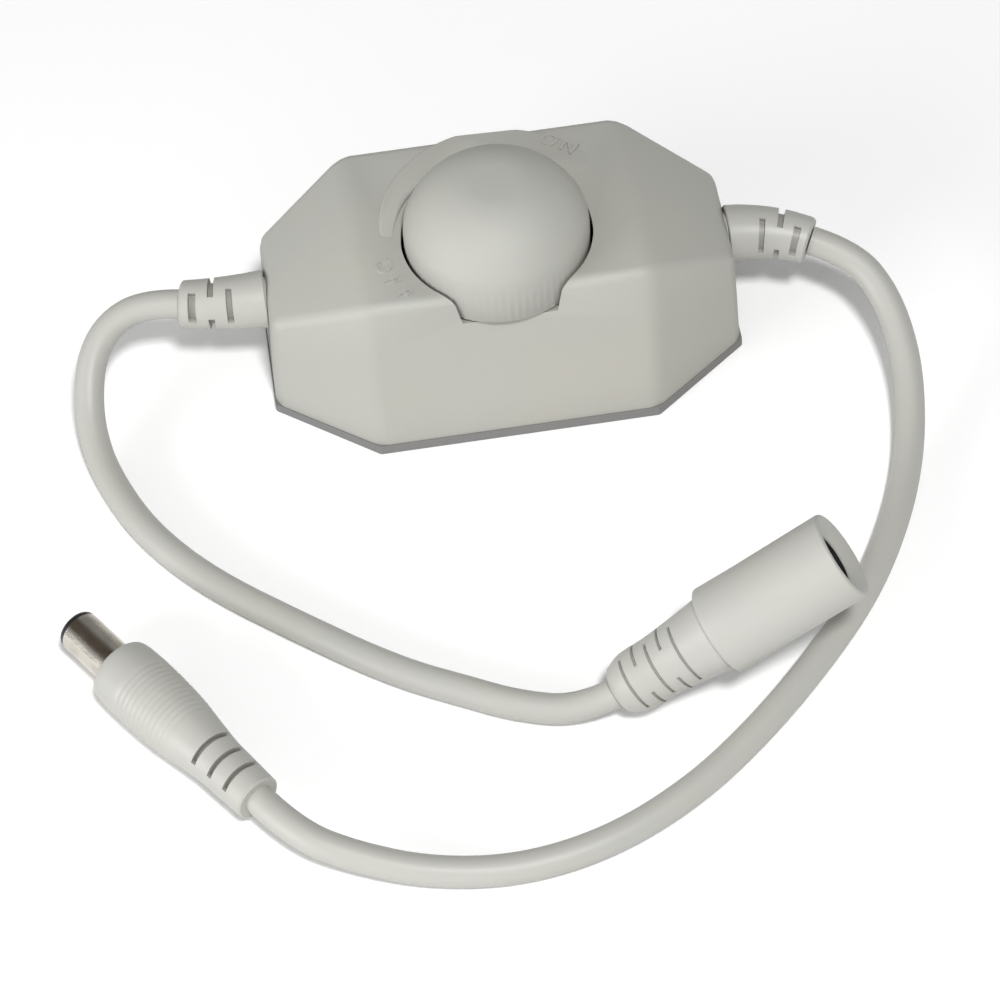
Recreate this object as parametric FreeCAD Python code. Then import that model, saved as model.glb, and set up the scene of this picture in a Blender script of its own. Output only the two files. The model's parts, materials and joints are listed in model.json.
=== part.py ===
import FreeCAD, Part
import math
import os

os.makedirs("parts", exist_ok=True)

# All sizes are in millimetres. The housing stands on z = 0 with its long side along x.
# The knob's side faces -y, the cable with the plug leaves at +x, the one with the jack at -x.

# Housing: its outline at the foot, and what becomes of it further up
housing_length = 63.0
housing_width = 35.2
housing_height = 24.5
long_wall_length = 37.2
end_wall_width = 15.0
end_wall_height = 17.6
plateau_width = 28.6
length_at_end_wall_top = 61.3
end_wall_top_width = 16.2
wall = 1.8
edge_round = 1.3
seam_height = 1.4
base_inset = 0.6
fit_gap = 0.1
running_gap = 0.4

# Base cover
lip_thickness = 1.2
lip_height = 2.4
foot_recess_depth = 0.5
foot_recess_margin = 5.0

# Screws that hold the base cover
screw_from_end = 7.0
screw_y = 7.4
screw_radius = 1.25
screw_length = 9.0
screw_head_radius = 2.3
screw_head_height = 1.1
screw_slot_width = 0.6
screw_slot_depth = 0.5
boss_wall = 1.3

# Knob and the opening that it turns in
knob_y = -4.0
knob_radius = 12.1
knob_gap = 0.6
opening_floor = 20.0
rim_height = 6.4
rib_count = 76
rib_depth = 0.18
dome_height = 7.4
dome_bulge = 1.9
dome_flat_radius = 3.0
knob_wall = 1.7
hub_radius = 4.6
shaft_gap = 0.05

# Raised crescent beside the knob
crescent_height = 0.8
crescent_radius = 16.0
crescent_shift_x = 1.0
crescent_shift_y = 2.5
crescent_start = 62.0
crescent_end = 172.0
crescent_inner_margin = 0.9
crescent_edge_inset = 0.35

# Circuit board
board_from_screw = 3.5
board_thickness = 1.6
board_height = 5.0
board_edge_gap = 0.5
post_from_end = 3.0
post_from_side = 5.3
post_radius = 2.2
board_screw_radius = 0.95
board_screw_length = 4.6
board_screw_head_radius = 1.8
board_screw_head_height = 1.2

# Parts on the board, with their places measured in from its ends and long sides
capacitor_radius = 4.0
capacitor_height = 11.5
capacitor_groove_height = 1.7
capacitor_groove_depth = 0.3
capacitor_edge = 0.4
capacitor_from_end = 9.0
capacitor_from_side = 7.2
transistor_length = 6.6
transistor_width = 6.0
transistor_height = 2.3
transistor_edge = 0.3
transistor_from_end = 9.0
transistor_from_side = 6.4
tab_length = 5.4
tab_width = 6.6
tab_thickness = 0.5
tab_shift = 0.9
transistor_lead_width = 0.8
transistor_lead_length = 2.4
transistor_lead_pitch = 2.3
chip_length = 3.9
chip_width = 4.9
chip_height = 1.4
chip_x = 0.5
chip_from_terminals = 1.08
chip_lead_rows = 4
chip_lead_pitch = 1.27
chip_lead_length = 1.1
chip_lead_width = 0.4
chip_lead_thickness = 0.2
resistor_size = (3.2, 1.6, 0.6)
resistor_count = 4
resistor_pitch = 2.5
resistor_from_end = 8.0
resistor_from_side = 4.2
ceramic_size = (2.0, 1.3, 0.9)
ceramic_pitch = 2.3
ceramic_from_end = 8.0
ceramic_from_side = 4.0
diode_size = (4.3, 2.6, 2.1)
diode_from_end = 6.8
diode_from_side = 10.0
small_part_edge = 0.15

# Potentiometer
pot_radius = 8.0
pot_height = 6.2
pot_sheet = 0.5
wafer_thickness = 1.2
wafer_lift = 0.5
rotor_radius = 6.2
rotor_thickness = 1.6
rotor_lift = 2.6
bushing_radius = 3.5
bushing_top = 18.9
shaft_radius = 3.0
shaft_flat = 1.5
bearing_gap = 0.1
terminal_pitch = 5.0
terminal_width = 1.0
terminal_thickness = 0.4
terminal_reach = 10.0
terminal_drop = 1.6
track_radius = 5.4
track_width = 1.2
track_thickness = 0.1
brush_gap = 0.15
brush_width = 0.8

# Strain reliefs; each slot has its place, width, turn and span
relief_z = 14.0
relief_length = 11.2
relief_wall_radius = 3.85
relief_end_radius = 3.1
relief_core_radius = 2.6
relief_neck_radius = 2.9
relief_shoulder_x = 31.05
relief_flange_width = 8.4
relief_flange_thickness = 1.5
relief_flange_drop = 4.2
relief_flange_rise = 2.2
relief_slots = ((4.6, 1.0, 0.0, 85.0), (7.0, 1.0, 90.0, 130.0), (9.4, 1.2, 0.0, 80.0))
relief_slot_facing = 36.0
left_bend = 12.0
left_bend_side = (0.0, 1.0, 0.0)
right_bend = 28.0
right_bend_side = (0.0, -0.95, -0.3)

# Cables and the conductors inside the housing
cable_radius = 1.95
wire_radius = 0.55
wire_spread = 0.9
wire_stub = 2.4
wire_drop = 3.2
wire_pad_from_end = 1.6
wire_pad_spread = 2.2
wire_pad_rise = 2.2
wire_pad_run = 1.2
wire_pad_shift = 0.2

# Plug; its profile is a row of (radius, height) points
plug_rear = (-39.9, -72.6, 4.65)
plug_heading = 124.1
plug_body_length = 27.2
plug_rear_radius = 3.05
plug_neck_radius = 3.3
plug_neck_end = 7.6
plug_swell = ((3.72, 11.0), (4.3, 15.0), (4.56, 19.0), (4.62, 23.0), (4.5, 26.0))
plug_front_radius = 4.1
plug_rib_count = 12
plug_rib_start = 13.0
plug_rib_pitch = 0.8
plug_rib_depth = 0.1
plug_slot_places = (3.0, 5.8, 8.6)
plug_slot_width = 0.9
plug_slot_core_radius = 2.5
plug_slot_facing = -4.0
plug_slot_span = 125.0
barrel_radius = 2.75
barrel_length = 9.0
barrel_wall = 0.35
barrel_root = 5.0
barrel_root_step = 0.4
tip_ring_length = 0.8
tip_ring_round = 0.6
inner_bore_radius = 1.05
inner_sleeve_wall = 0.25
inner_sleeve_recess = 0.6

# Jack
jack_rear = (5.6, -64.9, 5.1)
jack_heading = 6.3
jack_tilt = 30.8
jack_length = 33.0
jack_relief_profile = ((3.0, 0.0), (3.95, 2.4), (4.05, 6.0), (4.4, 10.0), (4.9, 14.4))
jack_step_radius = 5.85
jack_radius = 5.75
jack_mouth_round = 0.4
jack_groove_places = (2.7, 4.6, 6.5, 8.4, 10.3)
jack_groove_width = 0.6
jack_groove_depth = 0.6
jack_groove_facing = 41.0
jack_groove_span = 130.0
jack_recess_radius = 5.2
jack_recess_depth = 1.1
jack_throat_radius = 3.3
jack_cavity_radius = 4.7
jack_cavity_depth = 12.0
jack_bore_radius = 3.15
jack_back_wall = 1.6
jack_pin_radius = 1.0
jack_pin_recess = 3.0
jack_pin_root_step = 0.4
jack_pin_nose = 0.6
jack_lip = 0.3
spring_width = 1.8
spring_thickness = 0.3
spring_length = 6.5
spring_bow_start = 3.6
spring_bow_end = 5.2

# Routes of the two cables, from strain relief to connector, between their end points
jack_cable_points = [
    (-48.4, 2.5, 14.0), (-54.4, 1.2, 11.9), (-58.4, -2.6, 8.4), (-59.2, -8.6, 4.3),
    (-56.2, -15.3, 2.0), (-53.2, -21.6, 2.0), (-49.5, -27.9, 2.0), (-45.0, -33.6, 2.0),
    (-40.0, -38.8, 2.0), (-34.7, -43.8, 2.0), (-28.9, -48.4, 2.0), (-22.7, -53.1, 2.0),
    (-15.9, -58.6, 2.0), (-8.6, -62.9, 2.0), (-1.6, -65.0, 2.0), (2.2, -65.3, 3.0),
]
plug_cable_points = [
    (47.0, -5.2, 12.3), (50.9, -11.0, 9.8), (51.8, -18.6, 6.8), (50.9, -26.6, 4.1),
    (48.6, -34.8, 2.3), (44.6, -43.8, 2.0), (39.0, -53.2, 2.0), (31.4, -62.2, 2.0),
    (22.6, -71.0, 2.0), (13.0, -78.8, 2.0), (2.0, -84.6, 2.0), (-9.6, -86.8, 2.0),
    (-20.6, -85.4, 2.2), (-29.6, -82.2, 3.4), (-36.0, -78.4, 4.65),
]

origin = FreeCAD.Vector(0, 0, 0)
x_axis = FreeCAD.Vector(1, 0, 0)
z_axis = FreeCAD.Vector(0, 0, 1)

opening_radius = knob_radius + knob_gap
knob_bottom = opening_floor + running_gap
crease_height = knob_bottom + rim_height
board_top = board_height + board_thickness
board_half_length = housing_length / 2 - screw_from_end - board_from_screw
knob_centre = FreeCAD.Vector(0, knob_y, 0)


def save(name, solids):
    shape = solids[0] if len(solids) == 1 else Part.makeCompound(solids)
    shape.exportStep("parts/" + name + ".step")
    print(name, round(shape.Volume, 1), shape.isValid())


def cylinder(radius, low, high, x=0.0, y=0.0):
    return Part.makeCylinder(radius, high - low, FreeCAD.Vector(x, y, low))


def centred_box(length, width, low, high, x=0.0, y=0.0):
    corner = FreeCAD.Vector(x - length / 2, y - width / 2, low)
    return Part.makeBox(length, width, high - low, corner)


def edge_between(start, between, end):
    """Straight edge, arc through one point or smooth curve through several, in the plane y = 0."""
    points = [FreeCAD.Vector(radius, 0, height) for radius, height in [start] + between + [end]]
    if len(points) == 2:
        return Part.LineSegment(*points).toShape()
    if len(points) == 3:
        return Part.Arc(*points).toShape()
    curve = Part.BSplineCurve()
    curve.interpolate(points)
    return curve.toShape()


def turned(points):
    """Solid of revolution about z from (radius, height) corners; a list lies between two corners."""
    edges = []
    start = points[0]
    between = []
    for item in points[1:] + [points[0]]:
        if isinstance(item, list):
            between = item
        else:
            edges.append(edge_between(start, between, item))
            start = item
            between = []
    return Part.Face(Part.Wire(edges)).revolve(origin, z_axis, 360)


def radius_at(profile, height):
    """Radius of a row of (radius, height) points at a height."""
    for (low_radius, low), (high_radius, high) in zip(profile, profile[1:]):
        if low <= height <= high:
            return low_radius + (high_radius - low_radius) * (height - low) / (high - low)
    return profile[-1][0]


def rounded_middle(radius, top, rounding):
    """Middle of the quarter arc that rounds the outer top corner of a turned body."""
    inward = rounding * (1 - math.cos(math.pi / 4))
    return radius - inward, top - inward


def four_ways(x, y):
    return [(x, y), (-x, y), (-x, -y), (x, -y)]


def screw_places():
    return four_ways(housing_length / 2 - screw_from_end, screw_y)


def post_places():
    return four_ways(board_half_length - post_from_end, board_half_width() - post_from_side)


# Housing shells

def halfway(foot, top, share):
    """Half of a size that changes evenly from foot to top."""
    return (foot + (top - foot) * share) / 2


def outline(inset, z):
    half_width = halfway(housing_width, plateau_width, z / housing_height)
    half_length = halfway(housing_length, length_at_end_wall_top, z / end_wall_height)
    end_half = halfway(end_wall_width, end_wall_top_width, z / end_wall_height)
    long_half = long_wall_length / 2
    turn = math.atan2(half_width - end_half, half_length - long_half)
    long_half -= inset * math.tan(turn / 2)
    end_half -= inset * math.tan((math.pi / 2 - turn) / 2)
    half_width -= inset
    half_length -= inset
    right = [(long_half, half_width), (half_length, end_half)]
    right += [(half_length, -end_half), (long_half, -half_width)]
    return right + [(-x, -y) for x, y in right]


def outline_wire(inset, z):
    points = [FreeCAD.Vector(x, y, z) for x, y in outline(inset, z)]
    return Part.makePolygon(points + [points[0]])


def block(inset, low, high):
    return Part.makeLoft([outline_wire(inset, low), outline_wire(inset, high)], True, True)


def slope_wedges(inset):
    edge_x = outline(0, housing_height)[0][0]
    foot_x = outline(0, end_wall_height)[1][0]
    angle = math.atan2(housing_height - end_wall_height, foot_x - edge_x)
    along = FreeCAD.Vector(math.cos(angle), 0, -math.sin(angle))
    outward = FreeCAD.Vector(math.sin(angle), 0, math.cos(angle))
    centre = FreeCAD.Vector(edge_x, -housing_width, housing_height) - outward * inset
    upper = centre - along * (housing_length / 4)
    lower = centre + along * (housing_length / 2)
    corner = FreeCAD.Vector(lower.x, lower.y, upper.z)
    face = Part.Face(Part.makePolygon([upper, lower, corner, upper]))
    wedge = face.extrude(FreeCAD.Vector(0, 2 * housing_width, 0))
    return wedge, wedge.mirror(origin, x_axis)


def casing(inset, low, high):
    right, left = slope_wedges(inset)
    return block(inset, low, high).cut(right).cut(left)


def rounded_casing():
    body = casing(0, 0, housing_height)
    edges = [e for e in body.Edges if e.BoundBox.ZMax > seam_height]
    return body.makeFillet(edge_round, edges)


def crescent():
    centre = FreeCAD.Vector(crescent_shift_x, knob_y + crescent_shift_y, 0)
    low = housing_height - wall / 2
    high = housing_height + crescent_height
    disc = cylinder(crescent_radius, low, high, centre.x, centre.y)
    inner = cylinder(opening_radius + crescent_inner_margin, low, high, 0, knob_y)
    reach = 2 * crescent_radius
    sweep = crescent_end - crescent_start
    sector = Part.makeCylinder(reach, high - low, FreeCAD.Vector(0, knob_y, low), z_axis, sweep)
    sector.rotate(knob_centre, z_axis, crescent_start)
    raised = disc.cut(inner).common(sector)
    return raised.common(block(crescent_edge_inset, low, high))


def relief_slot_cutter(side, gap):
    half = relief_neck_radius + gap
    length = 4 * wall
    x = side * housing_length / 2
    slot = centred_box(length, 2 * half, 0, relief_z, x, 0)
    top = Part.makeCylinder(half, length, FreeCAD.Vector(x - length / 2, 0, relief_z), x_axis)
    return slot.fuse(top)


def screw_bosses():
    low = seam_height
    bosses = []
    for x, y in screw_places():
        bosses.append(cylinder(screw_radius + boss_wall, low, housing_height, x, y))
    return [boss.common(casing(wall / 2, low, housing_height)) for boss in bosses]


def make_top_cover():
    shell = rounded_casing().cut(centred_box(housing_length, housing_width, 0, seam_height))
    shell = shell.cut(casing(wall, 0, housing_height - wall))
    for boss in screw_bosses():
        shell = shell.fuse(boss)
    shell = shell.fuse(crescent())
    top = housing_height + 2 * crescent_height
    shell = shell.cut(cylinder(opening_radius, opening_floor, top, 0, knob_y))
    for side in (1, -1):
        shell = shell.cut(relief_slot_cutter(side, fit_gap))
    bore_top = seam_height + screw_length + fit_gap
    for x, y in screw_places():
        shell = shell.cut(cylinder(screw_radius + fit_gap / 2, seam_height, bore_top, x, y))
    return shell.removeSplitter()


def make_tongue(side):
    ring = casing(0, seam_height / 2, relief_z).cut(casing(wall, 0, relief_z + wall))
    half = relief_neck_radius
    window = centred_box(4 * wall, 2 * half, 0, relief_z, side * housing_length / 2, 0)
    neck = relief_neck_radius + fit_gap
    start = FreeCAD.Vector(side * housing_length / 2 - 2 * wall, 0, relief_z)
    return ring.common(window).cut(Part.makeCylinder(neck, 4 * wall, start, x_axis))


def make_base_cover():
    lip_inset = wall + fit_gap
    lip_top = seam_height + lip_height
    plate = block(base_inset, 0, seam_height)
    lip = block(lip_inset, seam_height / 2, lip_top)
    lip = lip.cut(block(lip_inset + lip_thickness, 0, lip_top + wall))
    boss_room = screw_radius + boss_wall + fit_gap
    for x, y in screw_places():
        lip = lip.cut(cylinder(boss_room, 0, lip_top + wall, x, y))
    base = plate.fuse(lip)
    for side in (1, -1):
        base = base.fuse(make_tongue(side))
    post_bore = board_screw_radius + fit_gap / 2
    bore_floor = board_top - board_screw_length - fit_gap
    for x, y in post_places():
        base = base.fuse(cylinder(post_radius, seam_height / 2, board_height, x, y))
    for x, y in post_places():
        base = base.cut(cylinder(post_bore, bore_floor, board_height, x, y))
    for x, y in screw_places():
        base = base.cut(cylinder(screw_radius + fit_gap, 0, seam_height, x, y))
        base = base.cut(screw_head(x, y, fit_gap))
    recess_length = housing_length - 2 * foot_recess_margin - 2 * screw_from_end
    recess = centred_box(recess_length, housing_width - 2 * foot_recess_margin, 0, foot_recess_depth)
    return base.cut(recess).removeSplitter()


# Fasteners

def screw_head(x, y, gap):
    top = screw_head_height
    points = [(0, 0), (screw_head_radius + gap, 0), (screw_radius + gap, top + gap), (0, top + gap)]
    head = turned(points)
    head.translate(FreeCAD.Vector(x, y, 0))
    return head


def make_cover_screws():
    screws = []
    for x, y in screw_places():
        screw = screw_head(x, y, 0).fuse(cylinder(screw_radius, 0, seam_height + screw_length, x, y))
        for turn in (0, 1):
            long = 3 * screw_radius * (1 - turn) + screw_slot_width * turn
            wide = 3 * screw_radius * turn + screw_slot_width * (1 - turn)
            screw = screw.cut(centred_box(long, wide, 0, screw_slot_depth, x, y))
        screws.append(screw.removeSplitter())
    return screws


def make_board_screws():
    screws = []
    tip = board_top - board_screw_length
    for x, y in post_places():
        head_top = board_top + board_screw_head_height
        head = cylinder(board_screw_head_radius, board_top, head_top, x, y)
        rim = [edge for edge in head.Edges if edge.BoundBox.ZMin > board_top]
        head = head.makeFillet(board_screw_head_height / 3, rim)
        screw = head.fuse(cylinder(board_screw_radius, tip, board_top, x, y))
        slot_low = head_top - screw_slot_depth
        slot = centred_box(2 * board_screw_radius, screw_slot_width, slot_low, head_top, x, y)
        screws.append(screw.cut(slot).removeSplitter())
    return screws


# Circuit board and what stands on it

def board_half_width():
    return outline(wall + board_edge_gap, board_height)[0][1]


def terminal_places():
    return (-terminal_pitch, 0, terminal_pitch)


def make_board():
    board = centred_box(2 * board_half_length, 2 * board_half_width(), board_height, board_top)
    board = board.common(block(wall + board_edge_gap, board_height, board_top))
    for x, y in post_places():
        board = board.cut(cylinder(board_screw_radius + fit_gap, board_height, board_top, x, y))
    for x in terminal_places():
        hole = terminal_width / 2 + fit_gap
        board = board.cut(cylinder(hole, board_height, board_top, x, knob_y + terminal_reach))
    return board


def make_capacitor_can():
    radius = capacitor_radius
    height = capacitor_height
    edge = capacitor_edge
    groove = capacitor_groove_height
    depth = capacitor_groove_depth
    points = [(0, 0), (radius - edge, 0), (radius, edge), (radius, groove - depth), (radius - depth, groove)]
    points += [(radius, groove + depth), (radius, height - edge), (radius - edge, height), (0, height)]
    can = turned(points)
    x = capacitor_from_end - board_half_length
    can.translate(FreeCAD.Vector(x, board_half_width() - capacitor_from_side, board_top))
    return can


def transistor_x():
    return board_half_length - transistor_from_end


def make_transistor():
    x = transistor_x()
    y = board_half_width() - transistor_from_side
    tab_top = board_top + tab_thickness
    top = board_top + transistor_height
    body = centred_box(transistor_length, transistor_width, tab_top, top, x, y)
    body = body.makeFillet(transistor_edge, [e for e in body.Edges if e.BoundBox.ZMin > top - transistor_edge])
    leads = [centred_box(tab_length, tab_width, board_top, tab_top, x, y + tab_shift)]
    lead_y = y + tab_shift - (tab_width + transistor_lead_length) / 2 - fit_gap
    for side in (-1, 1):
        lead_x = x + side * transistor_lead_pitch
        lead = centred_box(transistor_lead_width, transistor_lead_length, board_top, tab_top, lead_x, lead_y)
        leads.append(lead)
    return body, leads


def chip_y():
    return knob_y + terminal_reach + terminal_thickness / 2 + chip_from_terminals + chip_width / 2


def chip_lead_x():
    return chip_length / 2 + chip_lead_thickness * 2


def make_driver_chip():
    y = chip_y()
    body_low = board_top + chip_lead_thickness
    body = centred_box(chip_length, chip_width, body_low, body_low + chip_height, chip_x, y)
    leads = []
    for side in (-1, 1):
        for row in range(chip_lead_rows):
            lead_y = y + (row - (chip_lead_rows - 1) / 2) * chip_lead_pitch
            leads.append(centred_box(chip_lead_length, chip_lead_width, board_top, body_low,
                                     chip_x + side * chip_lead_x(), lead_y))
    return body, leads


def small_part(size, x, y):
    length, width, height = size
    piece = centred_box(length, width, board_top, board_top + height, x, y)
    upright = [e for e in piece.Edges if e.BoundBox.ZLength > small_part_edge]
    return piece.makeFillet(small_part_edge, upright)


def make_resistors():
    x = board_half_length - resistor_from_end
    y = resistor_from_side - board_half_width()
    return [small_part(resistor_size, x, y + row * resistor_pitch) for row in range(resistor_count)]


def make_ceramic_capacitors():
    x = ceramic_from_end - board_half_length
    y = ceramic_from_side - board_half_width()
    pair = [small_part(ceramic_size, x, y), small_part(ceramic_size, x, y + ceramic_pitch)]
    chip_side = chip_x + chip_lead_x() + chip_lead_length / 2
    transistor_side = transistor_x() - transistor_length / 2
    return pair + [small_part(ceramic_size, (chip_side + transistor_side) / 2, chip_y())]


def make_diode():
    x = diode_from_end - board_half_length
    return [small_part(diode_size, x, diode_from_side - board_half_width())]


# Potentiometer

def make_pot_can():
    low = board_top
    high = board_top + pot_height
    can = cylinder(pot_radius, low, high, 0, knob_y)
    rim = [edge for edge in can.Edges if edge.BoundBox.ZMin > low + pot_height / 2 and edge.Closed]
    can = can.makeFillet(pot_sheet, rim)
    can = can.cut(cylinder(pot_radius - pot_sheet, low, high - pot_sheet, 0, knob_y))
    hole = cylinder(bushing_radius, high - pot_sheet, high, 0, knob_y)
    gate_width = 2 * terminal_pitch + 3 * terminal_width
    gate_top = board_top + wafer_lift + wafer_thickness + 2 * terminal_thickness
    gate = centred_box(gate_width, pot_radius, low, gate_top, 0, knob_y + pot_radius)
    return can.cut(hole).cut(gate)


def make_pot_wafer():
    low = board_top + wafer_lift
    radius = pot_radius - pot_sheet - fit_gap
    wafer = cylinder(radius, low, low + wafer_thickness, 0, knob_y)
    return wafer


def make_pot_track():
    low = board_top + wafer_lift + wafer_thickness
    high = low + track_thickness
    outer = cylinder(track_radius + track_width / 2, low, high, 0, knob_y)
    ring = outer.cut(cylinder(track_radius - track_width / 2, low, high, 0, knob_y))
    gate = centred_box(track_width, pot_radius, low, high, 0, knob_y + track_radius)
    return ring.cut(gate)


def make_pot_terminals():
    low = board_top + wafer_lift + wafer_thickness
    start = track_radius + track_width
    solids = []
    for x in terminal_places():
        length = terminal_reach + terminal_thickness / 2 - start
        y = knob_y + start + length / 2
        flat = centred_box(terminal_width, length, low, low + terminal_thickness, x, y)
        leg = centred_box(terminal_width, terminal_thickness, board_height - terminal_drop,
                          low + terminal_thickness, x, knob_y + terminal_reach)
        solids.append(flat.fuse(leg).removeSplitter())
    return solids


def make_pot_bushing():
    low = board_top + pot_height - pot_sheet
    bushing = cylinder(bushing_radius, low, bushing_top, 0, knob_y)
    return bushing.cut(cylinder(shaft_radius + bearing_gap, low, bushing_top, 0, knob_y))


def shaft_top():
    return crease_height + dome_height - knob_wall - running_gap


def shaft_profile(gap, low, high):
    flat_start = bushing_top + running_gap
    shaft = cylinder(shaft_radius + gap, low, high, 0, knob_y)
    cut_y = knob_y + shaft_flat + gap + shaft_radius
    flat = centred_box(4 * shaft_radius, 2 * shaft_radius, flat_start, high, 0, cut_y)
    return shaft.cut(flat)


def make_pot_shaft():
    low = board_top + rotor_lift
    return shaft_profile(0, low, shaft_top())


def make_pot_rotor():
    low = board_top + rotor_lift
    rotor = cylinder(rotor_radius, low, low + rotor_thickness, 0, knob_y)
    return rotor.cut(cylinder(shaft_radius + shaft_gap, low, low + rotor_thickness, 0, knob_y))


def make_pot_wiper():
    high = board_top + rotor_lift
    low = board_top + wafer_lift + wafer_thickness + track_thickness + brush_gap
    bar = centred_box(brush_width, track_radius, high - terminal_thickness, high, 0,
                      knob_y - track_radius / 2)
    brush = centred_box(brush_width, track_width, low, high, 0, knob_y - track_radius)
    return bar.fuse(brush).removeSplitter()


# Knob

def rib_wire(z):
    points = []
    steps = 4 * rib_count
    for i in range(steps):
        radius = knob_radius if i % 4 < 2 else knob_radius - rib_depth
        angle = 2 * math.pi * i / steps
        points.append(FreeCAD.Vector(radius * math.cos(angle), radius * math.sin(angle), z))
    return Part.makePolygon(points + [points[0]])


def dome_arc(inset):
    foot = (knob_radius - inset, crease_height)
    top = (dome_flat_radius, crease_height + dome_height - inset)
    chord = math.hypot(foot[0] - top[0], top[1] - foot[1])
    normal = ((top[1] - foot[1]) / chord, (foot[0] - top[0]) / chord)
    middle = ((foot[0] + top[0]) / 2 + dome_bulge * normal[0],
              (foot[1] + top[1]) / 2 + dome_bulge * normal[1])
    return foot, middle, top


def make_knob():
    foot, middle, top = dome_arc(0)
    dome = turned([(0, crease_height), foot, [middle], top, (0, top[1])])
    rim = Part.Face(rib_wire(knob_bottom)).extrude(FreeCAD.Vector(0, 0, rim_height))
    foot, middle, top = dome_arc(knob_wall)
    hollow = turned([(0, knob_bottom), (foot[0], knob_bottom), foot, [middle], top, (0, top[1])])
    knob = rim.fuse(dome).cut(hollow)
    hub = cylinder(hub_radius, knob_bottom, crease_height + dome_height - knob_wall / 2)
    knob = knob.fuse(hub)
    knob.translate(knob_centre)
    knob = knob.cut(shaft_profile(shaft_gap, knob_bottom, shaft_top() + fit_gap))
    return knob.removeSplitter()


# Strain reliefs

def slot_ring(place, width, core_radius, skin_radius, turn, span):
    """Slot across a round body along z, open over a span of its skin, down to its core."""
    low = place - width / 2
    reach = 2 * skin_radius
    ring = Part.makeCylinder(reach, width, FreeCAD.Vector(0, 0, low), z_axis, span)
    ring.rotate(origin, z_axis, 180 + turn - span / 2)
    return ring.cut(cylinder(core_radius, low, low + width))


class BentAxis:
    """Axis that starts along x at the housing wall and bends evenly towards one side."""

    def __init__(self, side, bend, towards):
        self.angle = math.radians(bend)
        self.radius = relief_length / self.angle
        self.out = FreeCAD.Vector(side, 0, 0)
        self.towards = FreeCAD.Vector(*towards).normalize()
        self.start = FreeCAD.Vector(side * relief_shoulder_x, 0, relief_z)

    def at(self, length):
        turn = self.angle * length / relief_length
        shift = self.out * (self.radius * math.sin(turn))
        return self.start + shift + self.towards * (self.radius * (1 - math.cos(turn)))

    def heading(self, length):
        turn = self.angle * length / relief_length
        return self.out * math.cos(turn) + self.towards * math.sin(turn)

    def end(self):
        return self.at(relief_length)


left_axis = BentAxis(-1, left_bend, left_bend_side)
right_axis = BentAxis(1, right_bend, right_bend_side)


def circle_wire(radius, centre, heading):
    return Part.Wire([Part.makeCircle(radius, centre, heading)])


def frame_along(axis, length):
    """Placement whose z runs along the axis and whose y points up."""
    heading = axis.heading(length)
    level = z_axis.cross(heading).normalize()
    rotation = FreeCAD.Rotation(level, heading.cross(level), heading, "ZXY")
    return FreeCAD.Placement(axis.at(length), rotation)


def flange_face_x():
    return outline(wall + fit_gap, relief_z + relief_neck_radius)[1][0]


def make_relief(axis):
    steps = 6
    rings = []
    for i in range(steps + 1):
        length = relief_length * i / steps
        radius = relief_wall_radius + (relief_end_radius - relief_wall_radius) * i / steps
        rings.append(circle_wire(radius, axis.at(length), axis.heading(length)))
    relief = Part.makeLoft(rings, True, False)
    side = axis.out.x
    facing = -90 + side * (90 - relief_slot_facing)
    for place, width, turn, span in relief_slots:
        for half_turn in (0, 180):
            turn_here = facing + turn + half_turn
            slot = slot_ring(0, width, relief_core_radius, relief_wall_radius, turn_here, span)
            slot.Placement = frame_along(axis, place).multiply(slot.Placement)
            relief = relief.cut(slot)
    neck_end = flange_face_x()
    inner = FreeCAD.Vector(side * neck_end, 0, relief_z)
    neck = Part.makeCylinder(relief_neck_radius, relief_shoulder_x - neck_end, inner, axis.out)
    flange = centred_box(relief_flange_thickness, relief_flange_width, relief_z - relief_flange_drop,
                         relief_z + relief_flange_rise,
                         side * (neck_end - relief_flange_thickness / 2), 0)
    return relief.fuse(neck).fuse(flange).removeSplitter()


# Cables

def tube(points, radius, name):
    edges = []
    radii = []
    start = points[0]
    for before, corner, after in zip(points, points[1:], points[2:]):
        run_in = corner - before
        run_out = after - corner
        turn = run_in.getAngle(run_out)
        trim = 0.45 * min(run_in.Length, run_out.Length)
        bend = trim / math.tan(turn / 2)
        radii.append(bend)
        arc_start = corner - run_in.normalize() * trim
        arc_end = corner + run_out.normalize() * trim
        inward = (arc_start + arc_end) * 0.5 - corner
        middle = corner + inward.normalize() * (bend * (1 / math.cos(turn / 2) - 1))
        edges.append(Part.LineSegment(start, arc_start).toShape())
        edges.append(Part.Arc(arc_start, middle, arc_end).toShape())
        start = arc_end
    edges.append(Part.LineSegment(start, points[-1]).toShape())
    path = Part.Wire(edges)
    section = circle_wire(radius, points[0], points[1] - points[0])
    solid = path.makePipeShell([section], True, False)
    length = sum(edge.Length for edge in edges)
    ratio = solid.Volume / (math.pi * radius * radius * length)
    print(name, "length", round(length, 1), "volume ratio", round(ratio, 4))
    print("  bend radii", [round(r, 1) for r in radii])
    return solid


def vectors(points):
    return [FreeCAD.Vector(*point) for point in points]


def make_jack_cable():
    route = [left_axis.end()] + vectors(jack_cable_points) + [FreeCAD.Vector(*jack_rear)]
    return tube(route, cable_radius, "jack cable")


def make_plug_cable():
    route = [right_axis.end()] + vectors(plug_cable_points) + [FreeCAD.Vector(*plug_rear)]
    return tube(route, cable_radius, "plug cable")


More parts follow.
